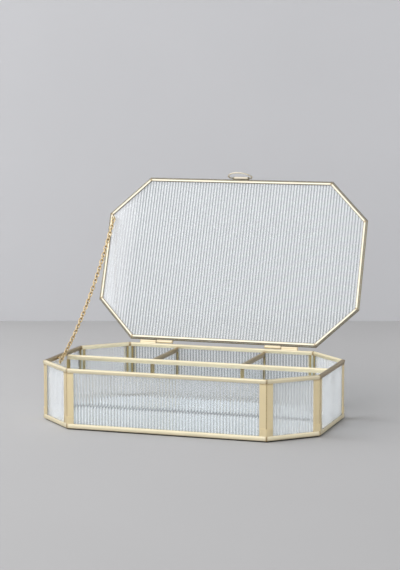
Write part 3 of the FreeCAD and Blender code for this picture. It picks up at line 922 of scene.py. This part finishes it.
def add_pane(shape, columns, grooves):
    """Pane from columns of four points: inner low, outer low, outer high, inner high. grooves holds the
    strength of the painted shade in the grooves at each column's outer low and outer high points, from 0 to
    1."""
    uv = shape.loops.layers.uv["UVMap"]
    depth = shape.verts.layers.float.new("groove")
    rows = [[shape.verts.new(point) for point in column] for column in columns]
    for row, (low, high) in zip(rows, grooves):
        row[1][depth] = low
        row[2][depth] = high
    for row, following in zip(rows, rows[1:]):
        for n in range(4):
            after = (n + 1) % 4
            face = shape.faces.new((row[n], row[after], following[after], following[n]))
            face.material_index = 0 if n in (1, 3) else 1
            for loop in face.loops:
                loop[uv].uv = (loop.vert.co.x + loop.vert.co.y, loop.vert.co.z)
    for row in (rows[0], rows[-1]):
        shape.faces.new(row).material_index = 1


class JEWELRYBOX_OT_wall_glass(bpy.types.Operator):
    """Upright panes with pressed ribs on the outside"""

    bl_idname = "jewelrybox.wall_glass"
    bl_label = "Wall glass"

    def execute(self, context):
        look = settings("glass")
        # Painted shade in the grooves: strong at the front pane's foot, faint at its top and in the end and
        # corner panes, full in the back pane.
        strengths = {"front": (look.front_foot, look.front_head), "back": (1.0, 1.0)}
        for side, name in enumerate(SIDES):
            start, end, along = side_line(side, GLASS_INNER)
            outward = along.cross(Z_AXIS)
            ribs = rib_columns((end - start).length - 2 * FIT_GAP)
            columns = []
            for distance, height, _ in ribs:
                inner = start + along * (FIT_GAP + distance)
                outer = inner + outward * height
                columns.append([inner + Z_AXIS * GLASS_LOW.z, outer + Z_AXIS * GLASS_LOW.z,
                                outer + Z_AXIS * GLASS_HIGH.z, inner + Z_AXIS * GLASS_HIGH.z])
            low, high = strengths.get(name, (look.faint, look.faint))
            pane = new_mesh()
            add_pane(pane, columns, [(groove * low, groove * high) for *_, groove in ribs])
            add_piece("ribbed_pane_" + name, pane, [ribbed_glass(PANE_KINDS.get(name, "end")), edge_glass()],
                      "ribbed_glass", "wall_glass_" + name, sharp=60)
        return {"FINISHED"}


def add_plate(shape, low, high, bevel, band=0.0):
    """Eight-sided plate between two levels of the outline, with bevelled rims. A band round its top
    takes the second material."""
    inset = HALF_LENGTH - high.x
    levels = [(low.z, inset + bevel), (low.z + bevel, inset),
              (high.z - bevel, inset), (high.z, inset + bevel)]
    if band:
        levels.append((high.z, inset + band))
    rings = [at_level(octagon(edge), level) for level, edge in levels]
    add_rings(shape, rings, [level for level, _ in levels])
    for face in list(shape.faces)[16:32]:
        face.material_index = 1 if band else 0


class JEWELRYBOX_OT_floor_plates(bpy.types.Operator):
    """Mirror floor and the felt pad under it"""

    bl_idname = "jewelrybox.floor_plates"
    bl_label = "Floor plates"

    def execute(self, context):
        mirror = new_mesh()
        # Painted shade: a near-black band round the mirror's top, where the walls meet it.
        add_plate(mirror, FLOOR_LOW, FLOOR_HIGH, bevel=0.3 * MM, band=MIRROR_RIM)
        add_piece("mirror_plate", mirror, [mirror_glass(), brass("painted_shade_brass")],
                  "mirror_floor", "mirror_floor", sharp=20)
        pad = new_mesh()
        add_plate(pad, PAD_LOW, PAD_HIGH, bevel=0.35 * MM)
        add_piece("felt_pad", pad, [felt()], "pad", "base_pad")
        return {"FINISHED"}


def add_block(shape, low, high, bevel):
    """Bevelled block between two corners."""
    made = bmesh.ops.create_cube(shape, size=1.0)
    for vertex in made["verts"]:
        vertex.co = Vector(a if c < 0 else b for a, b, c in zip(low, high, vertex.co))
    edges = list({edge for vertex in made["verts"] for edge in vertex.link_edges})
    bmesh.ops.bevel(shape, geom=edges, offset=bevel, segments=2, affect="EDGES")
    uv = shape.loops.layers.uv["UVMap"]
    for face in shape.faces:
        for loop in face.loops:
            loop[uv].uv = (loop.vert.co.x + loop.vert.co.y, loop.vert.co.z)


def add_channel(shape, profile, ends, axes, steps, seam_gap):
    """Straight channel from one end to the other. axes holds its origin, its run and the directions of
    the profile's (across, up) pairs. Rings stand at the steps from both ends, and seam_gap is how far
    its ends are from their seams."""
    origin, run, across, up = axes
    low, high = ends
    places = both_ends(steps, low, high)
    rings = [[origin + run * place + across * a + up * b for a, b in profile] for place in places]
    add_rings(shape, rings, places, [min(place - low, high - place) + seam_gap for place in places])


class JEWELRYBOX_OT_dividers(bpy.types.Operator):
    """Clear divider panes, their rolled caps and the upright channels at their ends"""

    bl_idname = "jewelrybox.dividers"
    bl_label = "Dividers"

    def execute(self, context):
        for name in ("long_divider", "short_divider_left", "short_divider_right"):
            replaced = name.replace("divider", "divider_glass")
            low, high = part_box(replaced)
            thin = 0 if high.x - low.x < high.y - low.y else 1
            pane = new_mesh()
            add_block(pane, low, high, settings("glass").bevel)
            for face in pane.faces:
                face.normal_update()
                face.material_index = 0 if abs(face.normal[thin]) > 0.9 else 1
            add_piece(name + "_pane", pane, [clear_glass(), edge_glass()], "clear_glass", replaced, sharp=20)
            self.add_seal(name, low, high, thin)
            self.add_cap(name, thin)
        self.add_end_channels()
        return {"FINISHED"}

    def add_cap(self, name, thin):
        """Rolled brass cap along a divider's top."""
        replaced = name.replace("divider", "divider_cap")
        low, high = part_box(replaced)
        run, outward = (X_AXIS, Y_AXIS) if thin else (Y_AXIS, X_AXIS)
        size = high - low
        profile = [(a, low.z + b) for a, b in rail_channel(size[thin], size.z)]
        cap = new_mesh()
        add_channel(cap, profile, (0.0, size.dot(run)), (Vector((low.x, low.y, 0)), run, outward, Z_AXIS),
                    steps=(0.0, 0.8 * MM, 3 * MM), seam_gap=0.6 * MM)
        # Painted shade: caps running from front to back take the darker side brass.
        finish = "pale_satin_brass" if thin else "side_shade_brass"
        add_piece(name + "_rolled_cap", cap, [brass(finish)], "frame_brass", replaced)

    def add_seal(self, name, low, high, thin):
        """Thin bead of adhesive along both faces of a divider's foot, in the dark cut-edge glass, which also
        paints the shade along the foot.
        """
        size, long = SEAL_SIZE, 1 - thin
        outline = [(0.0, 0.0), (size, 0.0)] + arc((size, size), size, 270, 180, 5)[1:]
        shape = new_mesh()
        for sign in (-1, 1):
            face = (high if sign > 0 else low)[thin]
            rings = []
            for place in (low[long] + SEAL_INSET, high[long] - SEAL_INSET):
                ring = []
                for out, up in outline:
                    point = Vector((0, 0, low.z + up))
                    point[thin] = face + sign * out
                    point[long] = place
                    ring.append(point)
                rings.append(ring)
            add_rings(shape, rings, [low[long], high[long]])
        add_piece(name + "_seal", shape, [edge_glass()], "clear_glass")

    def add_end_channels(self):
        """Upright channels, one for each end of the dividers and where the short ones meet the long one."""
        low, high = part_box("divider_end_channels")
        divider_low, divider_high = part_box("long_divider_glass")
        middle_y = (divider_low.y + divider_high.y) / 2
        places = [(low.x, middle_y, X_AXIS), (high.x, middle_y, -X_AXIS)]
        for name in ("left", "right"):
            short_low, short_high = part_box("short_divider_glass_" + name)
            middle_x = (short_low.x + short_high.x) / 2
            places += [(middle_x, divider_high.y, Y_AXIS), (middle_x, high.y, -Y_AXIS)]
        channel = rolled_channel(2 * END_HALF, END_DEPTH, bend=0.5 * MM, crown=0.1 * MM, lip=0.1 * MM,
                                 lip_reach=1 * MM)
        profile = [(a - END_HALF, END_DEPTH - b) for a, b in channel]
        for n, (x, y, inward) in enumerate(places):
            shape = new_mesh()
            add_channel(shape, profile, (low.z, high.z),
                        (Vector((x, y, 0)), Z_AXIS, Z_AXIS.cross(inward), inward),
                        steps=(0.0, 1 * MM, 4 * MM), seam_gap=0.5 * MM)
            # Painted shade: the end channels take the darker inner brass.
            add_piece("end_channel_%d" % n, shape, [brass("inner_shade_brass")],
                      "frame_brass", "divider_end_channels")


class JEWELRYBOX_OT_lid(bpy.types.Operator):
    """Lid: a ribbed pane in eight mitred rails"""

    bl_idname = "jewelrybox.lid"
    bl_label = "Lid"

    def execute(self, context):
        self.add_frame()
        self.add_glass()
        return {"FINISHED"}

    def add_frame(self):
        """Eight keeled rails, with painted shade on the outer slopes where they fold over and along the lips
        beside the pane.
        """
        look = settings("rail")
        reach = LID_HIGH.y - LID_LOW.y
        channel = keeled_channel(LID_HIGH.z - LID_LOW.z, reach, look.nose, look.lip, lip_reach=0.6 * MM)
        profile = [(reach - up, LID_LOW.z + across) for across, up in channel]
        # Painted shade: the folded-over outer slope and the inner lip beside the pane take the darker fold
        # brass.
        shaded_edges = edges_between(profile, -SHEET, look.nose)
        shaded_edges |= edges_between(profile, reach - 0.4 * MM, reach + SHEET)
        for side, name in enumerate(SIDES):
            rail = new_mesh()
            add_mitred_rail(rail, side, profile, shaded_edges)
            add_piece("lid_frame_" + name, rail, [brass("champagne_brass"), brass("fold_shade_brass")],
                      "frame_brass", "lid_rail_" + name, body="lid", sharp=28, place=OPENING)

    def add_glass(self):
        """Pane with ribs from front to back, which grow lower towards its left end, where the painted shade
        in their grooves fades too.
        """
        corner = octagon(HALF_LENGTH - LID_GLASS_HIGH.x)[4]
        span = 2 * LID_GLASS_HIGH.x
        valley = GLASS_THICKNESS - settings("glass").rib_height
        columns, grooves = [], []
        for distance, height, groove in rib_columns(span):
            sharpness = min(max((distance - LOW_RIB_START) / LOW_RIB_SPAN, LOW_RIB_LEAST), 1.0)
            height -= (height - valley) * LOW_RIB_DEPTH * (1 - sharpness)
            # Painted shade in the grooves fades with the ribs towards the left end.
            grooves.append((groove * sharpness, groove * sharpness))
            x = distance - span / 2
            y = min(corner.y, corner.y - (abs(x) - corner.x))
            low, high = LID_GLASS_LOW.z, LID_GLASS_LOW.z + height
            columns.append([Vector((x, -y, low)), Vector((x, -y, high)), Vector((x, y, high)),
                            Vector((x, y, low))])
        pane = new_mesh()
        add_pane(pane, columns, grooves)
        add_piece("ribbed_lid_pane", pane, [ribbed_glass("lid"), edge_glass()],
                  "ribbed_glass", "lid_glass", body="lid", sharp=60, place=OPENING)


def on_circle(radius, degrees):
    """Point of a circle about the origin."""
    return radius * math.cos(math.radians(degrees)), radius * math.sin(math.radians(degrees))


def knuckle_outline(leaf):
    """Outline in the hinge's cross plane of a knuckle and its leaf, given as (y, z) offsets."""
    first = math.degrees(math.atan2(leaf[-1][1], leaf[-1][0]))
    last = math.degrees(math.atan2(leaf[0][1], leaf[0][0]))
    if last <= first:
        last += 360
    return leaf + arc((0, 0), KNUCKLE_RADIUS, first, last, 30)[1:-1]


def both_halves(stations, span):
    """Stations from both ends of a turned piece of the given span, alike at each end."""
    return stations + [(span - distance, radius) for distance, radius in reversed(stations)]


class JEWELRYBOX_OT_hinges(bpy.types.Operator):
    """Barrel hinges between the back rail and the lid"""

    bl_idname = "jewelrybox.hinges"
    bl_label = "Hinges"

    def execute(self, context):
        near = HALF_WIDTH - HINGE.y
        far = near + LEAF_SHEET
        rail_top, rail_low = RAIL_TOP - HINGE.z, RAIL_TOP - LEAF_DROP - HINGE.z
        lid_top, lid_low = LID_HIGH.z - FIT_GAP - HINGE.z, LID_LOW.z + SHEET - HINGE.z
        base_leaf = [on_circle(LEAF_ROOT, BASE_LEAF_TURN), (near, rail_top), (near, rail_low),
                     (far, rail_low), (0.0, -KNUCKLE_RADIUS)]
        lid_leaf = [(0.0, KNUCKLE_RADIUS), (far, lid_top), (near, lid_top), (near, lid_low),
                    (on_circle(LEAF_ROOT, LID_LEAF_TURN)[0], lid_low)]
        for body, leaf, place in (("base", base_leaf, None), ("lid", lid_leaf, OPENING)):
            replaced = "hinge_%s_knuckles" % body
            for n, (start, end) in enumerate(self.stretches(replaced)):
                shape = new_mesh()
                self.add_knuckle(shape, leaf, start, end)
                add_piece("%s_knuckle_%d" % (body, n), shape, [brass("polished_brass")],
                          "hardware_brass", replaced, body=body, place=place)
        head = [(-PIN_DOME, 0.3 * PIN_HEAD), (-0.6 * PIN_DOME, 0.8 * PIN_HEAD), (0, PIN_HEAD),
                (PIN_STEP, PIN_WIRE)]
        for n, (start, end) in enumerate(self.stretches("hinge_pins")):
            pin = new_mesh()
            add_lathe(pin, both_halves(head, end - start), Vector((start, HINGE.y, HINGE.z)), X_AXIS)
            add_piece("hinge_pin_%d" % n, pin, [brass("polished_brass")], "hardware_brass", "hinge_pins")
        return {"FINISHED"}

    def stretches(self, name):
        """The stretch along X of each solid in a hinge node, left one first."""
        found = {-1: [], 1: []}
        for vertex in frame["nodes"][name].data.vertices:
            found[-1 if vertex.co.x < 0 else 1].append(vertex.co.x)
        return [(min(found[side]), max(found[side])) for side in (-1, 1)]

    def add_knuckle(self, shape, leaf, start, end):
        """Knuckle and leaf along X, with eased ends."""
        outline = knuckle_outline(leaf)
        middle = Vector([sum(values) / len(outline) for values in zip(*outline)])
        steps = (0.0, KNUCKLE_EASE, 1 * MM)
        shrinks = (KNUCKLE_EASE, 0, 0, 0, 0, KNUCKLE_EASE)
        rings, places = [], []
        for x, shrink in zip(both_ends(steps, start, end), shrinks):
            ring = []
            for y, z in outline:
                inward = Vector((middle[0] - y, middle[1] - z)).normalized() * shrink
                ring.append(Vector((x, HINGE.y + y + inward.x, HINGE.z + z + inward.y)))
            rings.append(ring)
            places.append(x - start)
        # Painted shade: each knuckle darkens at its ends, in the gaps between the knuckles.
        add_rings(shape, rings, places, [*steps, *reversed(steps)])


class JEWELRYBOX_OT_handle(bpy.types.Operator):
    """Lift handle: a tube on the lid's edge and the wire ring in it"""

    bl_idname = "jewelrybox.handle"
    bl_label = "Lift handle"

    def execute(self, context):
        low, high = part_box("handle_tube")
        axle = CLOSING @ RING_AXLE
        span = high.x - low.x
        end = [(TUBE_BORE_DEPTH, TUBE_BORE), (0, TUBE_BORE), (0, TUBE_RADIUS - TUBE_EASE),
               (TUBE_EASE, TUBE_RADIUS), (2 * MM, TUBE_RADIUS)]
        stations = both_halves(end, span)
        # Painted shade: the tube darkens towards its ends, where the ring goes in.
        tube = new_mesh()
        add_lathe(tube, stations, Vector((low.x, axle.y, axle.z)), X_AXIS,
                  [2 * min(distance, span - distance) for distance, _ in stations])
        add_piece("lift_tube", tube, [brass("light_gold_brass")],
                  "hardware_brass", "handle_tube", body="lid", place=OPENING)
        # Solder beads under the tube, in near-black painted shade brass that also stands in for the shadow
        # between tube and rail.
        solder = new_mesh()
        for x in (low.x + 0.7 * MM, high.x - 0.7 * MM):
            add_bead(solder, Vector((x, axle.y + 1.5 * MM, axle.z)), *TUBE_BEAD)
        add_piece("lift_tube_solder_shade", solder, [brass("painted_shade_brass")],
                  "hardware_brass", body="lid", place=OPENING)
        path = self.ring_path()
        # Painted shade: the ring darkens at its bends, beside the tube's ends.
        seams = [math.hypot(max(abs(point.x) - span / 2, 0.0), point.y) for point in path]
        ring = new_mesh()
        add_tube(ring, path, RING_WIRE, Z_AXIS, True, RING_SIDES, seams)
        place = OPENING @ (Matrix.Translation(axle) @ Matrix.Rotation(RING_TILT, 4, "X"))
        add_piece("lift_ring_wire", ring, [brass("light_gold_brass")],
                  "hardware_brass", "handle_ring", body="lift_ring", place=place)
        return {"FINISHED"}

    def ring_path(self):
        """Centre line of the bow: straight axle, two tight bends and one wide arc, counter-clockwise."""
        bend_x = RING_WIDTH / 2 - RING_WIRE - RING_BEND
        rise = RING_REACH - RING_WIRE - RING_BEND
        bow_y = (rise ** 2 - bend_x ** 2 - RING_BEND ** 2) / (2 * (rise - RING_BEND))
        meeting = math.degrees(math.atan2(RING_BEND - bow_y, bend_x))
        outline = [(bend_x * n / 6, 0.0) for n in range(-5, 6)]
        outline += arc((bend_x, RING_BEND), RING_BEND, -90, meeting, 12)
        outline += arc((0, bow_y), RING_REACH - RING_WIRE - bow_y, meeting, 180 - meeting, 36)[1:]
        outline += arc((-bend_x, RING_BEND), RING_BEND, 180 - meeting, 270, 12)[1:]
        return [Vector((x, y, 0)) for x, y in outline]


def chain_points(count):
    """Evenly spaced points down the hanging chain, and their spacing."""
    sag = settings("chain").sag
    end = OPENING @ CHAIN_END_CLOSED
    fine, travelled = [], [0.0]
    for n in range(CHAIN_STEPS + 1):
        along = n / CHAIN_STEPS
        fine.append(CHAIN_START.lerp(end, along) - Z_AXIS * (4 * sag * along * (1 - along)))
        if n:
            travelled.append(travelled[-1] + (fine[-1] - fine[-2]).length)
    pitch = travelled[-1] / count
    found, n = [fine[0]], 0
    for k in range(1, count):
        while travelled[n + 1] < k * pitch:
            n += 1
        part = (k * pitch - travelled[n]) / (travelled[n + 1] - travelled[n])
        found.append(fine[n].lerp(fine[n + 1], part))
    return found + [fine[-1]], pitch


class JEWELRYBOX_OT_chain(bpy.types.Operator):
    """Chain stay: soldered eyes and separate links that ride on the chain's runs"""

    bl_idname = "jewelrybox.chain"
    bl_label = "Chain stay"

    def execute(self, context):
        look = settings("chain")
        points, pitch = chain_points(sum(LINKS_PER_RUN))
        sway = random.Random(SWAY_SEED)
        link = 0
        for run, size in enumerate(LINKS_PER_RUN, 1):
            for _ in range(size):
                start, end = points[link], points[link + 1]
                along = (end - start).normalized()
                face = X_AXIS if link % 2 else X_AXIS.cross(along)
                turn = Matrix.Rotation(sway.uniform(-look.sway, look.sway), 3, along)
                self.add_link(link, run, (start + end) / 2, along, turn @ face, pitch)
                link += 1
        self.add_eyes(points)
        return {"FINISHED"}

    def add_link(self, number, run, middle, along, face, pitch):
        """One oval link, flat in the plane whose normal is face."""
        look = settings("chain")
        wire = look.wire / 2
        bend = look.width / 2 - wire
        half = (pitch + look.play + look.wire) / 2 - bend
        outline = arc((half, 0), bend, -90, 90, 12) + arc((-half, 0), bend, 90, 270, 12)
        across = face.cross(along)
        path = [middle + along * a + across * b for a, b in outline]
        shape = new_mesh()
        # Painted shade: each link darkens towards its ends, where it touches its neighbours.
        add_tube(shape, path, wire, face, True, WIRE_SIDES, [half + bend - abs(a) for a, _ in outline])
        add_piece("chain_link_%02d" % (number + 1), shape, [brass("gold_plated_brass")],
                  "chain_brass", "chain_run_%02d" % run, body="chain_%02d" % run)

    def add_eyes(self, points):
        """Round eyes on the left rails of the base and the lid, with their shanks and solder."""
        look = settings("chain")
        hook = EYE_RADIUS - (look.wire + look.play) / 2
        middle = points[0] - (points[1] - points[0]).normalized() * hook
        root = Vector((RAIL_WIDTH - HALF_LENGTH, middle.y, (RAIL_LOW.z + RAIL_HIGH.z) / 2))
        elbow = Vector((middle.x, middle.y, root.z))
        base_eye = new_mesh()
        self.add_eye(base_eye, middle, [root, elbow, middle + Z_AXIS * EYE_RADIUS])
        add_bead(base_eye, root + X_AXIS * 0.3 * MM, *BASE_EYE_BEAD)
        add_piece("chain_eye_base", base_eye, [brass("gold_plated_brass")], "chain_brass", "base_chain_eye")
        middle = CLOSING @ (points[-1] + (points[-1] - points[-2]).normalized() * hook)
        crown = middle + Z_AXIS * EYE_RADIUS
        root = Vector((closed_box("lid_rail_left")[1].x, crown.y, crown.z))
        lid_eye = new_mesh()
        self.add_eye(lid_eye, middle, [root, crown])
        add_bead(lid_eye, root + Z_AXIS * 0.35 * MM, *LID_EYE_BEAD)
        add_piece("chain_eye_lid", lid_eye, [brass("pale_satin_brass")],
                  "chain_brass", "lid_chain_eye", body="lid", place=OPENING)

    def add_eye(self, shape, middle, shank):
        """Wire ring in a plane across X with a straight or bent shank."""
        wire = settings("chain").wire / 2
        circle = [middle + Vector((0, y, z)) for y, z in arc((0, 0), EYE_RADIUS, 0, 345, 23)]
        add_tube(shape, circle, wire, X_AXIS, True, WIRE_SIDES)
        add_tube(shape, shank, wire, Y_AXIS, False, WIRE_SIDES)


class JEWELRYBOX_OT_solder(bpy.types.Operator):
    """Beads of solder at the corners of the foot rails and inside the top rails"""

    bl_idname = "jewelrybox.solder"
    bl_label = "Solder"

    def execute(self, context):
        rows = (("foot", 0.75 * MM, FOOT_LOW.z - 0.2 * MM, 0.55),
                ("top", RAIL_WIDTH - 0.1 * MM, RAIL_LOW.z + 1.2 * MM, 0.8))
        for corner in range(8):
            for name, inset, level, size in rows:
                shape = new_mesh()
                add_bead(shape, octagon(inset)[corner] + Z_AXIS * level, (size, size, size), corner)
                add_piece("solder_%s_%d" % (name, corner), shape, [brass("pale_satin_brass")], "frame_brass")
        return {"FINISHED"}


# ---- studio -----------------------------------------------------------------------------------------


class JEWELRYBOX_OT_studio(bpy.types.Operator):
    """Pale floor and backdrop, soft lamps and the camera"""

    bl_idname = "jewelrybox.studio"
    bl_label = "Studio"

    def execute(self, context):
        look = settings("studio")
        aim = Vector(look.camera_aim).normalized()
        self.ahead = Vector((aim.x, aim.y, 0)).normalized()
        self.right = self.ahead.cross(Z_AXIS)
        self.add_backdrop(look)
        self.add_lamp("key_lamp", self.seen(*KEY_PLACE), look.key_size, look.key)
        self.add_lamp("rim_lamp", self.seen(*RIM_PLACE), look.rim_size, look.rim)
        self.add_sky(look)
        camera = bpy.data.objects.new("camera", bpy.data.cameras.new("camera"))
        camera.data.lens = look.lens
        camera.location = look.camera_place
        camera.rotation_euler = aim.to_track_quat("-Z", "Y").to_euler()
        context.scene.collection.objects.link(camera)
        context.scene.camera = camera
        context.scene.view_settings.view_transform = "Standard"
        return {"FINISHED"}

    def seen(self, right, ahead, up):
        """Place or direction as the camera looks at the box, but level."""
        return self.right * right + self.ahead * ahead + Z_AXIS * up

    def add_backdrop(self, look):
        """Floor all round, and a wall across the line of sight that stands on it."""
        floor = [(-FLOOR_REACH, 0.0), (0.0, 0.0), (FLOOR_REACH, 0.0)]
        self.add_sheet("floor", floor, FLOOR_REACH, FLOOR_REACH, look.floor, False)
        wall = [(look.wall_distance, level) for level in (0.0, WALL_HEIGHT)]
        self.add_sheet("backdrop", wall, look.wall_left, look.wall_right, look.wall, True)

    def add_sheet(self, name, points, left, right, tone, culled):
        """Paper sheet across the line of sight through (ahead, up) points."""
        shape = bmesh.new()
        rows = [[shape.verts.new(self.seen(side, ahead, up)) for side in (-left, right)]
                for ahead, up in points]
        for row, following in zip(rows, rows[1:]):
            shape.faces.new((row[0], row[1], following[1], following[0]))
        mesh = bpy.data.meshes.new(name)
        shape.to_mesh(mesh)
        shape.free()
        mesh.shade_smooth()
        mesh.materials.append(matte(name + "_paper", tone, culled))
        piece = bpy.data.objects.new(name, mesh)
        bpy.context.scene.collection.objects.link(piece)

    def add_lamp(self, name, place, size, power):
        """Square soft lamp aimed at the box."""
        lamp = bpy.data.lights.new(name, "AREA")
        lamp.size = size
        lamp.energy = power
        lamp.color = settings("studio").light
        holder = bpy.data.objects.new(name, lamp)
        holder.location = place
        holder.rotation_euler = (-place).to_track_quat("-Z", "Y").to_euler()
        holder.visible_camera = False
        holder.visible_glossy = False
        bpy.context.scene.collection.objects.link(holder)

    def add_sky(self, look):
        """Soft light all round, bright at the front left, with a gleam at the front right for gloss. What
        looks past the box, or through its glass, meets plain air instead."""
        world = bpy.data.worlds.new("studio")
        world.use_nodes = True
        tree = world.node_tree
        rays = add_node(tree, "LightPath").outputs
        glow = self.add_glow(tree, BRIGHT_END, (-0.35, 0.65), look.dim, look.bright)
        gleam = self.add_glow(tree, GLEAM_END, (0.7, 1.0), 0.0, look.gleam)
        gleam = math_node(tree, "MULTIPLY", gleam, rays["Is Glossy Ray"])
        sky = tree.nodes["Background"]
        fill(tree, sky, {"Color": opaque(look.light), "Strength": math_node(tree, "ADD", glow, gleam)})
        air = add_node(tree, "Background", {"Color": opaque(look.air)})
        seen = math_node(tree, "MAXIMUM", rays["Is Camera Ray"], rays["Is Transmission Ray"])
        mix_shaders(tree, tree.nodes["World Output"], seen, sky, air)
        bpy.context.scene.world = world

    def add_glow(self, tree, end, span, low, high):
        """Strength that rises softly from low to high toward one end of the sky, as the cosine of the
        angle to it goes through its span."""
        place = add_node(tree, "TexCoord").outputs["Generated"]
        toward = add_node(tree, "VectorMath", {0: place, 1: self.seen(*end).normalized()},
                          operation="DOT_PRODUCT")
        limits = {"From Min": span[0], "From Max": span[1], "To Min": low, "To Max": high}
        fade = add_node(tree, "MapRange", limits, interpolation_type="SMOOTHSTEP")
        fill(tree, fade, {"Value": toward.outputs["Value"]})
        return fade.outputs[0]


# ---- registration -----------------------------------------------------------------------------------

GROUPS = {"rail": RailLook, "glass": GlassLook, "chain": ChainLook, "studio": StudioLook}
OPERATORS = (
    JEWELRYBOX_OT_base_rails, JEWELRYBOX_OT_corner_strips, JEWELRYBOX_OT_wall_glass,
    JEWELRYBOX_OT_floor_plates, JEWELRYBOX_OT_dividers, JEWELRYBOX_OT_lid, JEWELRYBOX_OT_hinges,
    JEWELRYBOX_OT_handle, JEWELRYBOX_OT_chain, JEWELRYBOX_OT_solder, JEWELRYBOX_OT_studio)


class JEWELRYBOX_PT_panel(bpy.types.Panel):
    """Lists the settings and the operators."""

    bl_label = "Jewelry Box"
    bl_idname = "JEWELRYBOX_PT_panel"
    bl_space_type = "VIEW_3D"
    bl_region_type = "UI"
    bl_category = "Jewelry Box"

    def draw(self, context):
        for name, group in GROUPS.items():
            box = self.layout.box()
            for key in group.__annotations__:
                box.prop(settings(name), key)
        for operator in OPERATORS:
            self.layout.operator(operator.bl_idname)


def register():
    for cls in (*GROUPS.values(), *OPERATORS, JEWELRYBOX_PT_panel):
        bpy.utils.register_class(cls)
    for name, group in GROUPS.items():
        setattr(bpy.types.Scene, "jewelry_box_" + name, PointerProperty(type=group))


def unregister():
    for name in GROUPS:
        delattr(bpy.types.Scene, "jewelry_box_" + name)
    for cls in reversed((*GROUPS.values(), *OPERATORS, JEWELRYBOX_PT_panel)):
        bpy.utils.unregister_class(cls)


def main():
    """Registers the add-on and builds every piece."""
    register()
    for operator in OPERATORS:
        group, name = operator.bl_idname.split(".")
        getattr(getattr(bpy.ops, group), name)()
    bpy.context.view_layer.update()


if __name__ == "__main__":
    main()
